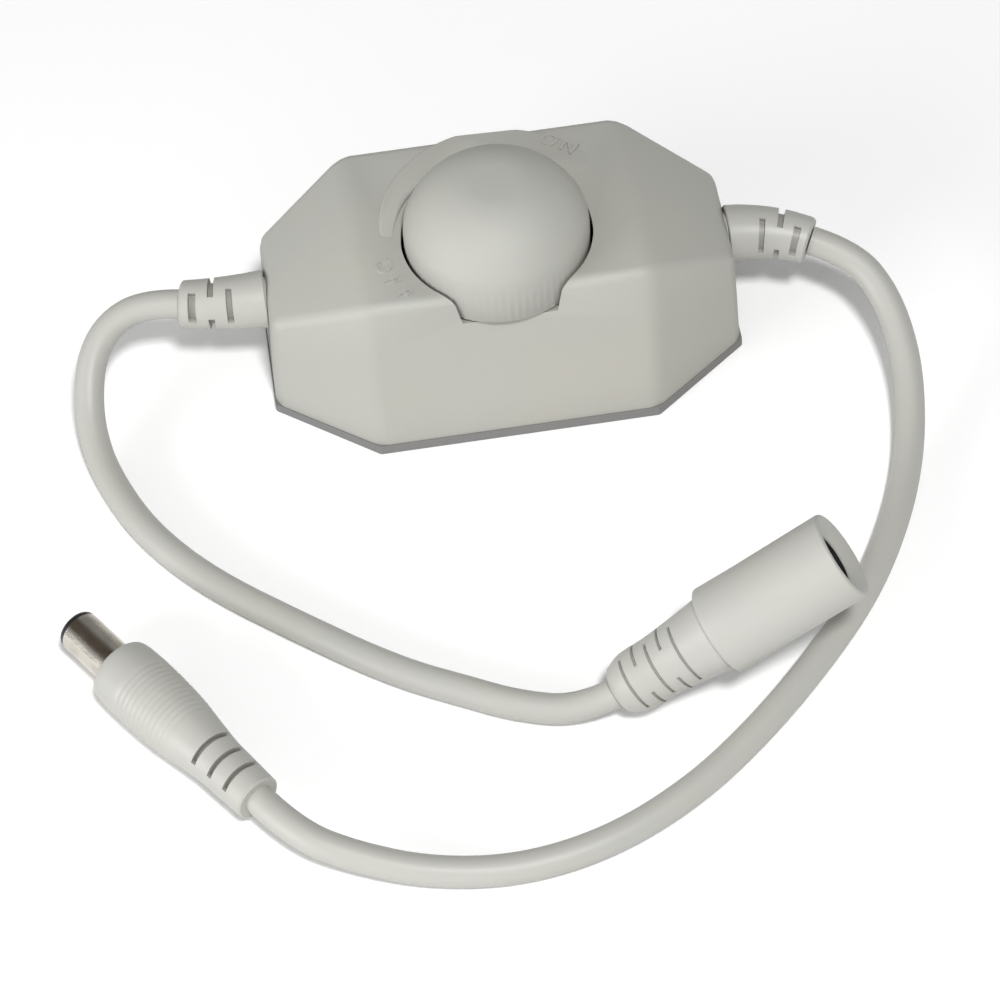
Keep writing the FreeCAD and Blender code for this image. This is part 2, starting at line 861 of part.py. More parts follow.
def make_wires(row):
    start_x = flange_face_x() - relief_flange_thickness
    pad_x = board_half_length - wire_pad_from_end
    y = row * wire_spread
    pad_y = row * wire_pad_spread
    stations = [(start_x, y, relief_z), (start_x - wire_stub, y, relief_z),
                (pad_x + wire_pad_run, pad_y, relief_z - wire_drop), (pad_x, pad_y, board_top + wire_pad_rise),
                (pad_x, pad_y + row * wire_pad_shift, board_top)]
    wires = []
    for side in (1, -1):
        points = [FreeCAD.Vector(side * x, y_at, z) for x, y_at, z in stations]
        wires.append(tube(points, wire_radius, "conductor"))
    return wires


# Plug

def place_plug(shape):
    shape.rotate(origin, FreeCAD.Vector(0, 1, 0), 90)
    shape.rotate(origin, z_axis, plug_heading)
    shape.translate(FreeCAD.Vector(*plug_rear))
    return shape


def make_plug_overmould():
    length = plug_body_length
    neck = (plug_neck_radius, plug_neck_end)
    swell = list(plug_swell)
    points = [(0, 0), (plug_rear_radius, 0), neck, swell[:-1], swell[-1]]
    points += [(plug_front_radius, length), (0, length)]
    body = turned(points)
    profile = [neck] + swell
    for i in range(plug_rib_count):
        low = plug_rib_start + i * plug_rib_pitch
        high = low + plug_rib_pitch / 2
        groove = cylinder(2 * plug_front_radius, low, high)
        body = body.cut(groove.cut(cylinder(radius_at(profile, low) - plug_rib_depth, low, high)))
    for place in plug_slot_places:
        for half_turn in (0, 180):
            turn = plug_slot_facing + half_turn
            body = body.cut(slot_ring(place, plug_slot_width, plug_slot_core_radius, plug_neck_radius, turn,
                                      plug_slot_span))
    root = length - barrel_root
    body = body.cut(cylinder(barrel_radius + barrel_root_step + fit_gap / 2, root, length))
    return place_plug(body.removeSplitter())


def make_plug_barrel():
    length = plug_body_length
    top = length + barrel_length - tip_ring_length
    barrel = cylinder(barrel_radius + barrel_root_step, length - barrel_root, length)
    barrel = barrel.fuse(cylinder(barrel_radius, length, top))
    barrel = barrel.cut(cylinder(barrel_radius - barrel_wall, length - barrel_root, top))
    return place_plug(barrel.removeSplitter())


def make_plug_insulator():
    low = plug_body_length - barrel_root
    top = plug_body_length + barrel_length
    ring_low = top - tip_ring_length
    outer = barrel_radius - barrel_wall - fit_gap / 2
    inner = inner_bore_radius + inner_sleeve_wall + fit_gap / 2
    edge = barrel_radius - fit_gap / 2
    points = [(inner, low), (outer, low), (outer, ring_low), (edge, ring_low)]
    points += [(edge, top - tip_ring_round), [rounded_middle(edge, top, tip_ring_round)]]
    points += [(edge - tip_ring_round, top), (inner, top)]
    return place_plug(turned(points))


def make_plug_inner_sleeve():
    low = plug_body_length - barrel_root
    top = plug_body_length + barrel_length - inner_sleeve_recess
    sleeve = cylinder(inner_bore_radius + inner_sleeve_wall, low, top)
    return place_plug(sleeve.cut(cylinder(inner_bore_radius, low, top)))


# Jack

def place_jack(shape):
    shape.rotate(origin, FreeCAD.Vector(0, 1, 0), 90 - jack_tilt)
    shape.rotate(origin, z_axis, jack_heading)
    shape.translate(FreeCAD.Vector(*jack_rear))
    return shape


def make_jack_overmould():
    length = jack_length
    profile = list(jack_relief_profile)
    step = profile[-1][1]
    points = [(0, 0), profile[0], profile[1:-1], profile[-1], (jack_step_radius, step)]
    points += [(jack_radius, length - jack_mouth_round)]
    points += [[rounded_middle(jack_radius, length, jack_mouth_round)]]
    points += [(jack_radius - jack_mouth_round, length), (jack_recess_radius, length)]
    points += [(jack_throat_radius, length - jack_recess_depth), (0, length - jack_recess_depth)]
    body = turned(points)
    for number, place in enumerate(jack_groove_places):
        skin = radius_at(profile, place)
        for half_turn in (0, 180):
            turn = jack_groove_facing + 90 * (number % 2) + half_turn
            body = body.cut(slot_ring(place, jack_groove_width, skin - jack_groove_depth, skin, turn,
                                      jack_groove_span))
    cavity_top = length - jack_recess_depth - jack_lip
    cavity_low = length - jack_cavity_depth
    body = body.cut(cylinder(jack_cavity_radius + fit_gap / 2, cavity_low, cavity_top))
    body = body.cut(cylinder(jack_throat_radius, cavity_low, length))
    return place_jack(body.removeSplitter())


def make_jack_insulator():
    low = jack_length - jack_cavity_depth
    top = jack_length - jack_recess_depth - jack_lip
    body = cylinder(jack_cavity_radius, low, top)
    body = body.cut(cylinder(jack_bore_radius, low + jack_back_wall, top))
    pin_hole = jack_pin_radius + jack_pin_root_step + fit_gap / 2
    body = body.cut(cylinder(pin_hole, low, low + jack_back_wall))
    pocket_depth = spring_thickness + fit_gap
    pocket = centred_box(pocket_depth * 2, spring_width + 2 * fit_gap, low + jack_back_wall, top,
                         jack_bore_radius, 0)
    return place_jack(body.cut(pocket))


def make_jack_spring():
    low = jack_length - jack_cavity_depth + jack_back_wall
    strip = centred_box(spring_thickness, spring_width, low, low + spring_length,
                        jack_bore_radius + spring_thickness / 2, 0)
    bow = centred_box(spring_thickness, spring_width, low + spring_bow_start, low + spring_bow_end,
                      jack_bore_radius - spring_thickness / 2, 0)
    return place_jack(strip.fuse(bow).removeSplitter())


def make_jack_pin():
    low = jack_length - jack_cavity_depth
    top = jack_length - jack_recess_depth - jack_pin_recess
    radius = jack_pin_radius
    root = radius + jack_pin_root_step
    shoulder = low + jack_back_wall
    nose = jack_pin_nose
    points = [(0, low), (root, low), (root, shoulder), (radius, shoulder), (radius, top - nose)]
    points += [[rounded_middle(radius, top, nose)], (radius - nose, top), (0, top)]
    return place_jack(turned(points))


save("top_cover", [make_top_cover()])
save("base_cover", [make_base_cover()])
save("cover_screws", make_cover_screws())
save("board_screws", make_board_screws())
save("circuit_board", [make_board()])
save("electrolytic_capacitor", [make_capacitor_can()])
transistor_body, transistor_leads = make_transistor()
save("power_transistor", [transistor_body])
save("power_transistor_leads", transistor_leads)
chip_body, chip_leads = make_driver_chip()
save("driver_chip", [chip_body])
save("driver_chip_leads", chip_leads)
save("resistors", make_resistors())
save("ceramic_capacitors", make_ceramic_capacitors())
save("diode", make_diode())
save("pot_can", [make_pot_can()])
save("pot_wafer", [make_pot_wafer()])
save("pot_track", [make_pot_track()])
save("pot_terminals", make_pot_terminals())
save("pot_bushing", [make_pot_bushing()])
save("pot_shaft", [make_pot_shaft()])
save("pot_rotor", [make_pot_rotor()])
save("pot_wiper", [make_pot_wiper()])
save("knob", [make_knob()])
save("left_strain_relief", [make_relief(left_axis)])
save("right_strain_relief", [make_relief(right_axis)])
save("positive_wires", make_wires(1))
save("negative_wires", make_wires(-1))
save("jack_cable", [make_jack_cable()])
save("plug_cable", [make_plug_cable()])
save("plug_overmould", [make_plug_overmould()])
save("plug_barrel", [make_plug_barrel()])
save("plug_insulator", [make_plug_insulator()])
save("plug_inner_sleeve", [make_plug_inner_sleeve()])
save("jack_overmould", [make_jack_overmould()])
save("jack_insulator", [make_jack_insulator()])
save("jack_spring_contact", [make_jack_spring()])
save("jack_centre_pin", [make_jack_pin()])
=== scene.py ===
import json
import math

import bmesh
import bpy
from mathutils import Matrix, Vector


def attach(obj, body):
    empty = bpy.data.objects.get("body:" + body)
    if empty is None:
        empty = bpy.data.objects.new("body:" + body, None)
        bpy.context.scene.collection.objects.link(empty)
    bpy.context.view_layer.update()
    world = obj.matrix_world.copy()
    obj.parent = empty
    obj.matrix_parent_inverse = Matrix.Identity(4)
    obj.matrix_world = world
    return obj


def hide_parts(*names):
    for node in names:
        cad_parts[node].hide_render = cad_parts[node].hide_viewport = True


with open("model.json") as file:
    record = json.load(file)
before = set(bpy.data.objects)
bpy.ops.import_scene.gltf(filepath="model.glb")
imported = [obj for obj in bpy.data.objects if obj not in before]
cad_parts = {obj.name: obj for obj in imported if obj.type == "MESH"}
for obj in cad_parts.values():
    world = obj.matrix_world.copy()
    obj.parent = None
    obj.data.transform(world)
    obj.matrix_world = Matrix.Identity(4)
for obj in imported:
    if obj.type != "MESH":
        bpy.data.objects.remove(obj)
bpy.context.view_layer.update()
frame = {"nodes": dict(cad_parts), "record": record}
mm = 0.001
zAxis = Vector((0, 0, 1))


# Shader helpers

class Signal:
    # one socket of a node tree, used like a number

    def __init__(self, shader, socket):
        self.shader = shader
        self.socket = socket

    def combine(self, operation, first, second):
        return self.shader.node("ShaderNodeMath", {"operation": operation}, {0: first, 1: second})

    def __add__(self, other):
        return self.combine("ADD", self, other)

    def __radd__(self, other):
        return self.combine("ADD", other, self)

    def __mul__(self, other):
        return self.combine("MULTIPLY", self, other)

    def __rmul__(self, other):
        return self.combine("MULTIPLY", other, self)

    def between(self, low, high):
        settings = {"interpolation_type": "SMOOTHSTEP"}
        inputs = {"Value": self, "From Min": low, "From Max": high}
        return self.shader.node("ShaderNodeMapRange", settings, inputs)


class Shader:
    # a material with one Principled surface

    def __init__(self, name, roughness=0.5, metallic=0.0, coat=0.0):
        self.material = bpy.data.materials.new(name)
        self.material.use_nodes = True
        self.tree = self.material.node_tree
        self.surface = self.tree.nodes["Principled BSDF"]
        self.surface.inputs["Roughness"].default_value = roughness
        self.surface.inputs["Metallic"].default_value = metallic
        self.surface.inputs["Coat Weight"].default_value = coat
        self.place = self.node("ShaderNodeTexCoord", output="Object")

    def node(self, kind, settings=None, inputs=None, output=0):
        made = self.tree.nodes.new(kind)
        for key, value in (settings or {}).items():
            setattr(made, key, value)
        for key, value in (inputs or {}).items():
            self.feed(made.inputs[key], value)
        return Signal(self, made.outputs[output])

    def feed(self, socket, value):
        if isinstance(value, Signal):
            self.tree.links.new(value.socket, socket)
        else:
            socket.default_value = value

    def noise(self, scale, detail, roughness=0.5, place=None):
        inputs = {"Vector": place or self.place, "Scale": scale, "Detail": detail, "Roughness": roughness}
        return self.node("ShaderNodeTexNoise", None, inputs)

    def stretched(self, scale):
        return self.node("ShaderNodeMapping", None, {"Vector": self.place, "Scale": scale})

    def tint(self, amount, first, second, blend="MIX"):
        # first and second are colours or signals; 6 and 7 are the Mix node's two colour sockets
        settings = {"data_type": "RGBA", "blend_type": blend}
        colours = [end if isinstance(end, Signal) else (*end, 1) for end in (first, second)]
        return self.node("ShaderNodeMix", settings, {0: amount, 6: colours[0], 7: colours[1]}, output=2)

    def colour(self, value):
        self.feed(self.surface.inputs["Base Color"], value)

    def rough(self, value):
        self.feed(self.surface.inputs["Roughness"], value)

    def bump(self, height, distance, strength):
        inputs = {"Height": height, "Distance": distance, "Strength": strength}
        self.feed(self.surface.inputs["Normal"], self.node("ShaderNodeBump", None, inputs))


def shade(colour, factor):
    return tuple(channel * factor for channel in colour)


# Finishes

housingFinish = {
    "colour": (0.412, 0.411, 0.380),
    "warm": (0.420, 0.412, 0.370),
    "grain": 2600.0,
    "grainHeight": 0.012 * mm,
    "mottle": 45.0,
    "roughness": 0.52,
}

leadFinish = {
    "colour": (0.436, 0.433, 0.404),
    "warm": (0.440, 0.433, 0.398),
    "grain": 1900.0,
    "grainHeight": 0.008 * mm,
    "mottle": 70.0,
    "roughness": 0.40,
}

# a grey base cover, darkened further as painted shade for the shadow line round the foot of the housing
baseShadeFinish = {
    "colour": (0.180, 0.180, 0.180),
    "warm": (0.190, 0.185, 0.178),
    "grain": 2600.0,
    "grainHeight": 0.012 * mm,
    "mottle": 45.0,
    "roughness": 0.50,
}

plasticWearAndShade = {
    "patchRange": (0.35, 0.65),
    "patchRoughness": 0.08,
    "grainRoughness": 0.05,
    "waveScale": 4,
    "waveShare": 0.6,
    "bumpStrength": 0.8,
    "speckScale": 0.4,
    "speckRange": (0.62, 0.78),
    "speckAmount": 0.06,
    "speckColour": (0.80, 0.78, 0.74),
    # how far, and to what colour, slot and groove floors are darkened as painted shade in the recesses
    "paintedShadeAmount": 0.75,
    "paintedShadeColour": (0.32, 0.30, 0.27),
}

metalWear = {
    "tarnishScale": 400.0,
    "tarnishRange": (0.4, 0.75),
    "tarnishShade": 0.82,
    "tarnishRoughness": 0.06,
    "lineRoughness": 0.10,
    "lineHeight": 0.003 * mm,
    "lineStrength": 0.5,
}

glossWear = {
    "shade": 1.35,
    "roughness": 0.12,
    "height": 0.006 * mm,
    "strength": 0.6,
}

boardLook = {
    "mask": (0.010, 0.085, 0.030),
    "copper": (0.020, 0.150, 0.055),
    "rowOffset": 0.35,
    "cellScale": 160.0,
    "cellTone": (0.1, 0.1, 0.1, 1),
    "lineWidth": 0.05,
    "coat": 0.3,
    "plainRoughness": 0.35,
    "roughness": 0.30,
    "weaveScale": 2500.0,
    "weaveRoughness": 0.15,
    "weaveShare": 0.3,
    "height": 0.02 * mm,
    "strength": 0.5,
}

laminateLook = {
    "fibres": (900, 2600, 900),
    "shades": (0.7, 1.3),
    "plainRoughness": 0.55,
    "roughness": 0.45,
    "fibreRoughness": 0.2,
    "height": 0.02 * mm,
    "strength": 0.6,
}


def mouldedPlastic(name, finish):
    wear = plasticWearAndShade
    shader = Shader(name)
    patch = shader.noise(finish["mottle"], 2.0).between(*wear["patchRange"])
    speck = shader.noise(finish["grain"] * wear["speckScale"], 1.0).between(*wear["speckRange"])
    base = shader.tint(patch, finish["colour"], finish["warm"])
    dusty = shader.tint(speck * wear["speckAmount"], base, wear["speckColour"], "MULTIPLY")
    # slot and groove floors are darkened here as painted shade, read from a per-vertex attribute
    paintedShade = shader.node("ShaderNodeAttribute", {"attribute_name": "paintedShade"}, output="Fac")
    shader.colour(shader.tint(paintedShade * wear["paintedShadeAmount"], dusty, wear["paintedShadeColour"], "MULTIPLY"))
    grain = shader.noise(finish["grain"], 2.0, 0.6)
    wave = shader.noise(finish["mottle"] * wear["waveScale"], 1.0)
    shader.rough(finish["roughness"] + wear["patchRoughness"] * patch + wear["grainRoughness"] * grain)
    shader.bump(grain + wave * wear["waveShare"], finish["grainHeight"], wear["bumpStrength"])
    return shader.material


def platedMetal(name, colour, roughness, lines=(300, 300, 9000)):
    wear = metalWear
    shader = Shader(name, roughness, metallic=1.0)
    tarnish = shader.noise(wear["tarnishScale"], 3.0).between(*wear["tarnishRange"])
    shader.colour(shader.tint(tarnish, colour, shade(colour, wear["tarnishShade"])))
    turning = shader.noise(1.0, 2.0, 0.5, shader.stretched(lines))
    shader.rough(roughness + wear["lineRoughness"] * turning + wear["tarnishRoughness"] * tarnish)
    shader.bump(turning, wear["lineHeight"], wear["lineStrength"])
    return shader.material


def glossyPlastic(name, colour, roughness=0.3, scale=900.0):
    shader = Shader(name, roughness)
    cloud = shader.noise(scale, 3.0)
    shader.colour(shader.tint(cloud, colour, shade(colour, glossWear["shade"])))
    shader.rough(roughness + glossWear["roughness"] * cloud)
    shader.bump(cloud, glossWear["height"], glossWear["strength"])
    return shader.material


def boardLaminate(name):
    look = boardLook
    shader = Shader(name, look["plainRoughness"], coat=look["coat"])
    cells = shader.node("ShaderNodeTexBrick", {"offset": look["rowOffset"]}, {
        "Vector": shader.place, "Scale": look["cellScale"], "Mortar Size": look["lineWidth"],
        "Color1": (0, 0, 0, 1), "Color2": look["cellTone"], "Mortar": (1, 1, 1, 1)})
    weave = shader.noise(look["weaveScale"], 2.0)
    shader.colour(shader.tint(cells, look["mask"], look["copper"]))
    shader.rough(look["roughness"] + look["weaveRoughness"] * weave)
    shader.bump(cells + weave * look["weaveShare"], look["height"], look["strength"])
    return shader.material


def pressedLaminate(name, colour):
    look = laminateLook
    shader = Shader(name, look["plainRoughness"])
    fibre = shader.noise(1.0, 4.0, 0.6, shader.stretched(look["fibres"]))
    shader.colour(shader.tint(fibre, *(shade(colour, factor) for factor in look["shades"])))
    shader.rough(look["roughness"] + look["fibreRoughness"] * fibre)
    shader.bump(fibre, look["height"], look["strength"])
    return shader.material


print("stage: materials")
housingPlastic = mouldedPlastic("housingPlastic", housingFinish)
knobPlastic = mouldedPlastic("knobPlastic", dict(housingFinish, roughness=0.62))
leadVinyl = mouldedPlastic("leadVinyl", leadFinish)
baseShadePlastic = mouldedPlastic("baseShadePlastic", baseShadeFinish)
nickelPlate = platedMetal("nickelPlate", (0.70, 0.66, 0.59), 0.16)
blackPlastic = glossyPlastic("blackPlastic", (0.012, 0.012, 0.013))

slotMaterials = {
    "housing_plastic": housingPlastic,
    "base_plastic": baseShadePlastic,
    "knob_plastic": knobPlastic,
    "lead_vinyl": leadVinyl,
    "nickel_plate": nickelPlate,
    "connector_plastic": blackPlastic,
    "screw_steel": platedMetal("zincScrew", (0.52, 0.52, 0.50), 0.32),
    "board_laminate": boardLaminate("greenBoard"),
    "capacitor_sleeve": glossyPlastic("capacitorSleeve", (0.012, 0.014, 0.020), 0.25),
    "component_epoxy": glossyPlastic("mouldingEpoxy", (0.018, 0.018, 0.018), 0.55, 2500.0),
    "component_ceramic": glossyPlastic("firedCeramic", (0.36, 0.25, 0.15), 0.45, 2500.0),
    "tinned_copper": platedMetal("tinnedCopper", (0.66, 0.66, 0.64), 0.25),
    "pot_steel": platedMetal("platedSheet", (0.58, 0.58, 0.56), 0.28, (900, 900, 900)),
    "pot_phenolic": pressedLaminate("phenolic", (0.26, 0.14, 0.06)),
    "carbon_track": glossyPlastic("carbonTrack", (0.012, 0.012, 0.012), 0.5, 3500.0),
    "shaft_aluminium": platedMetal("turnedAluminium", (0.72, 0.72, 0.72), 0.24),
    "contact_brass": platedMetal("springBrass", (0.66, 0.47, 0.20), 0.22),
    "red_insulation": glossyPlastic("redInsulation", (0.42, 0.012, 0.012), 0.35),
    "black_insulation": glossyPlastic("blackInsulation", (0.012, 0.012, 0.012), 0.35),
}

for entry in frame["record"]["subparts"]:
    node = frame["nodes"][entry["node"]]
    node.data.materials.clear()
    node.data.materials.append(slotMaterials[entry["material_slot"]])


# Mesh helpers

# distances in millimetres, angles in degrees
weldDistance = 0.001
finestWeld = 0.0005
casingWeld = 0.02
planeTolerance = 0.004
axisRadius = 0.01
fineSteps = 96
vinylSmooth = 35
hardSmooth = 30


def faceOut(bm):
    # the whole skin is turned over when its signed volume comes out negative
    bmesh.ops.recalc_face_normals(bm, faces=bm.faces)
    signed = sum(face.calc_area() * face.normal.dot(face.calc_center_median()) for face in bm.faces)
    if signed < 0:
        bmesh.ops.reverse_faces(bm, faces=bm.faces)


def addPiece(name, bm, slotName, body, replaced=(), smoothAngle=40.0):
    bmesh.ops.remove_doubles(bm, verts=bm.verts, dist=finestWeld * mm)
    faceOut(bm)
    mesh = bpy.data.meshes.new(name)
    bm.to_mesh(mesh)
    bm.free()
    return addMesh(name, mesh, slotName, body, replaced, smoothAngle)


def addMesh(name, mesh, slotName, body, replaced, smoothAngle):
    piece = bpy.data.objects.new(name, mesh)
    bpy.context.scene.collection.objects.link(piece)
    mesh.materials.clear()
    mesh.materials.append(slotMaterials[slotName])
    mesh.shade_smooth()
    mesh.set_sharp_from_angle(angle=math.radians(smoothAngle))
    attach(piece, body)
    if replaced:
        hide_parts(*replaced)
    return piece


def meshObject(name, bm):
    mesh = bpy.data.meshes.new(name)
    bm.to_mesh(mesh)
    bm.free()
    thing = bpy.data.objects.new(name, mesh)
    bpy.context.scene.collection.objects.link(thing)
    return thing


def spinProfile(points, steps=72):
    # points are (radius, height) in millimetres, turned about z
    bm = bmesh.new()
    verts = [bm.verts.new((radius * mm, 0, height * mm)) for radius, height in points]
    edges = [bm.edges.new(pair) for pair in zip(verts, verts[1:])]
    bmesh.ops.spin(bm, geom=verts + edges, cent=(0, 0, 0), axis=(0, 0, 1), angle=2 * math.pi,
                   steps=steps, use_merge=True, use_duplicate=False)
    bmesh.ops.remove_doubles(bm, verts=bm.verts, dist=weldDistance * mm)
    faceOut(bm)
    return bm


def roundEdges(bm, edges, radius, steps=3):
    bmesh.ops.bevel(bm, geom=edges, offset=radius * mm, offset_type="OFFSET", affect="EDGES",
                    segments=steps, profile=0.5, material=-1, clamp_overlap=True)


def rounded(corner, before, after, radius, steps):
    # points of a fillet at a corner of a profile
    a = (Vector(before) - Vector(corner)).normalized()
    b = (Vector(after) - Vector(corner)).normalized()
    half = a.angle(b) / 2
    trim = radius / math.tan(half)
    centre = Vector(corner) + (a + b).normalized() * (radius / math.sin(half))
    first = Vector(corner) + a * trim - centre
    last = Vector(corner) + b * trim - centre
    points = []
    for i in range(steps + 1):
        points.append(tuple(centre + first.slerp(last, i / steps) * radius))
    return points


def roundedProfile(points, steps=4):
    # each point is (radius, height) or (radius, height, fillet)
    flat = [point[:2] for point in points]
    result = []
    for i, point in enumerate(points):
        if len(point) == 3:
            result += rounded(flat[i], flat[i - 1], flat[i + 1], point[2], steps)
        else:
            result.append(flat[i])
    return result


def swing(phase):
    # a wave from 0 to 1 and back
    return 0.5 - 0.5 * math.cos(phase)


def oppositePair(low, high, angle, span):
    # two slots at the same height, half a turn apart
    return [(low, high, angle, span), (low, high, angle + 180, span)]


def cutSlots(bm, slots, depth, shadeLevel, lip=0.1, draft=0.02, core=1.0):
    # each slot is (low, high, angle, span) in millimetres and degrees; its floor is marked for painted
    # shade that darkens the recess
    paintedShade = bm.verts.layers.float.new("paintedShade")
    for low, high, angle, span in slots:
        faces = []
        for face in bm.faces:
            centre = face.calc_center_median() / mm
            radial = Vector((centre.x, centre.y, 0))
            if radial.length < core or not low < centre.z < high or face.normal.dot(radial) <= 0:
                continue
            away = (math.degrees(math.atan2(centre.y, centre.x)) - angle + 180) % 360 - 180
            if abs(away) < span / 2:
                faces.append(face)
        bmesh.ops.inset_region(bm, faces=faces, thickness=lip * mm, depth=0, use_even_offset=True)
        bmesh.ops.inset_region(bm, faces=faces, thickness=draft * mm, depth=-depth * mm,
                               use_even_offset=True)
        for face in faces:
            for vert in face.verts:
                vert[paintedShade] = shadeLevel


def curved(points, steps):
    # smooth curve through (radius, height) points
    flat = [Vector(point) for point in points]
    ghosts = [2 * flat[0] - flat[1]] + flat + [2 * flat[-1] - flat[-2]]
    result = []
    for a, b, c, d in zip(ghosts, ghosts[1:], ghosts[2:], ghosts[3:]):
        for i in range(steps):
            t = i / steps
            result.append(tuple(0.5 * (2 * b + (c - a) * t + (2 * a - 5 * b + 4 * c - d) * t ** 2
                                       + (3 * b - a - 3 * c + d) * t ** 3)))
    result.append(tuple(flat[-1]))
    return result


def radiusAt(points, height):
    for (r0, z0), (r1, z1) in zip(points, points[1:]):
        if z0 <= height <= z1 and z1 > z0:
            return r0 + (r1 - r0) * (height - z0) / (z1 - z0)
    return points[-1][0]


def spanOf(place, width):
    return place - width / 2, place + width / 2


def withSlots(points, spans, margin=0.12):
    # a rising profile with a point at both ends of every slot and none inside it
    kept = []
    for radius, height in points:
        if not any(low - margin < height < high + margin for low, high in spans):
            kept.append((radius, height))
    ends = [(radiusAt(points, height), height) for span in spans for height in span]
    return sorted(kept + ends, key=lambda point: point[1])


def withHeights(points, heights):
    added = [(radiusAt(points, height), height) for height in heights]
    return sorted(points + added, key=lambda point: point[1])


# Camera

cameraView = {
    "azimuth": 4.35,
    "elevation": 51.0,
    "roll": -4.78,
    "distance": 456.67,
    "target": (-4.30, -28.19, 0.0),
    "focalPixels": 3500.0,
    "imagePixels": 1000.0,
    "sensor": 36.0,
    "clipStart": 0.01,
}


def makeCamera(view):
    azimuth = math.radians(view["azimuth"])
    elevation = math.radians(view["elevation"])
    roll = math.radians(view["roll"])
    flat = math.cos(elevation)
    ahead = Vector((math.sin(azimuth) * flat, math.cos(azimuth) * flat, -math.sin(elevation)))
    level = ahead.cross(zAxis).normalized()
    upright = level.cross(ahead)
    right = level * math.cos(roll) + upright * math.sin(roll)
    up = upright * math.cos(roll) - level * math.sin(roll)
    data = bpy.data.cameras.new("photoCamera")
    data.sensor_width = view["sensor"]
    data.lens = view["focalPixels"] / view["imagePixels"] * view["sensor"]
    data.clip_start = view["clipStart"]
    camera = bpy.data.objects.new("photoCamera", data)
    bpy.context.scene.collection.objects.link(camera)
    basis = Matrix((right, up, -ahead)).transposed().to_4x4()
    place = (Vector(view["target"]) - ahead * view["distance"]) * mm
    camera.matrix_world = Matrix.Translation(place) @ basis
    bpy.context.scene.camera = camera


makeCamera(cameraView)


# Floor and light

floorLook = {
    "size": 4.0,
    "colour": (0.90, 0.90, 0.90),
    "shownColour": (1.0, 1.0, 1.0),
    "lift": 0.04,
    "fade": (0.15, 0.45),
    "grain": 600.0,
    "roughness": 0.95,
    "grainRoughness": 0.05,
}

lamps = {
    "key": {"azimuth": 8, "elevation": 60, "distance": 0.9, "size": 0.10, "power": 5.6},
    "left": {"azimuth": -66, "elevation": 13, "distance": 0.9, "size": 0.5, "power": 5.0},
    "front": {"azimuth": -10, "elevation": 18, "distance": 0.9, "size": 0.5, "power": 0.9},
}
skyStrength = 0.28


def makeFloor(look):
    # pure white where the camera sees it, with a glow that grows towards the far floor
    bm = bmesh.new()
    bmesh.ops.create_grid(bm, x_segments=1, y_segments=1, size=look["size"] / 2)
    floor = meshObject("floor", bm)
    shader = Shader("floorPaper", roughness=1.0)
    path = shader.node("ShaderNodeLightPath", output="Is Camera Ray")
    paper = shader.noise(look["grain"], 2.0)
    shader.colour(shader.tint(path, look["colour"], look["shownColour"]))
    shader.rough(look["roughness"] + look["grainRoughness"] * paper)
    shader.surface.inputs["Specular IOR Level"].default_value = 0.0
    shader.surface.inputs["Emission Strength"].default_value = 1.0
    length = {"operation": "LENGTH"}
    distance = shader.node("ShaderNodeVectorMath", length, {0: shader.place}, output="Value")
    glow = shader.tint(distance.between(*look["fade"]), (look["lift"],) * 3, (1, 1, 1))
    shader.feed(shader.surface.inputs["Emission Color"], shader.tint(path, (0, 0, 0), glow))
    floor.data.materials.append(shader.material)


def makeLamp(name, lamp):
    azimuth = math.radians(lamp["azimuth"])
    elevation = math.radians(lamp["elevation"])
    flat = math.cos(elevation)
    out = Vector((math.sin(azimuth) * flat, -math.cos(azimuth) * flat, math.sin(elevation)))
    data = bpy.data.lights.new(name, "AREA")
    data.shape = "SQUARE"
    data.size = lamp["size"]
    data.energy = lamp["power"]
    light = bpy.data.objects.new(name, data)
    bpy.context.scene.collection.objects.link(light)
    aim = Vector(cameraView["target"]) * mm
    turn = out.to_track_quat("Z", "Y").to_matrix().to_4x4()
    light.matrix_world = Matrix.Translation(aim + out * lamp["distance"]) @ turn


def makeSky(strength):
    # white behind the object, weaker as a light
    world = bpy.data.worlds.new("softRoom")
    world.use_nodes = True
    bpy.context.scene.world = world
    tree = world.node_tree
    background = tree.nodes["Background"]
    path = tree.nodes.new("ShaderNodeLightPath")
    mix = tree.nodes.new("ShaderNodeMix")
    mix.data_type = "FLOAT"
    mix.inputs[2].default_value = strength
    mix.inputs[3].default_value = 1.0
    tree.links.new(path.outputs["Is Camera Ray"], mix.inputs[0])
    tree.links.new(mix.outputs[0], background.inputs["Strength"])
    background.inputs["Color"].default_value = (1, 1, 1, 1)


print("stage: camera, floor and light")
makeFloor(floorLook)
for lampName, lampSettings in lamps.items():
    makeLamp(lampName, lampSettings)
makeSky(skyStrength)
bpy.context.scene.view_settings.view_transform = "Standard"


# Housing

housing = {
    "length": 63.0,
    "lengthAtWallTop": 61.3,
    "width": 35.2,
    "plateauWidth": 28.6,
    "height": 24.5,
    "longWall": 37.2,
    "endWall": 15.0,
    "endWallTop": 16.2,
    "endHeight": 17.6,
    "levels": (6.8, 12.2, 17.6),
    "seam": 1.4,
    "wall": 1.8,
    "round": 1.3,
    "roundSteps": 5,
    "roundFrom": 12,
    "cavityLow": -1.0,
    "openingRadius": 12.5,
    "openingFloor": 20.2,
    "openingReach": 4,
    "openingY": -4.0,
    "openingSides": 200,
    "reliefZ": 14.0,
    "slotHalfWidth": 3.0,
    "slotReach": 1.2,
    "slotSides": 64,
    "softEdge": 0.12,
    "softFrom": 50,
    "smoothAngle": 32,
}


def halfway(foot, top, share):
    return (foot + (top - foot) * share) / 2


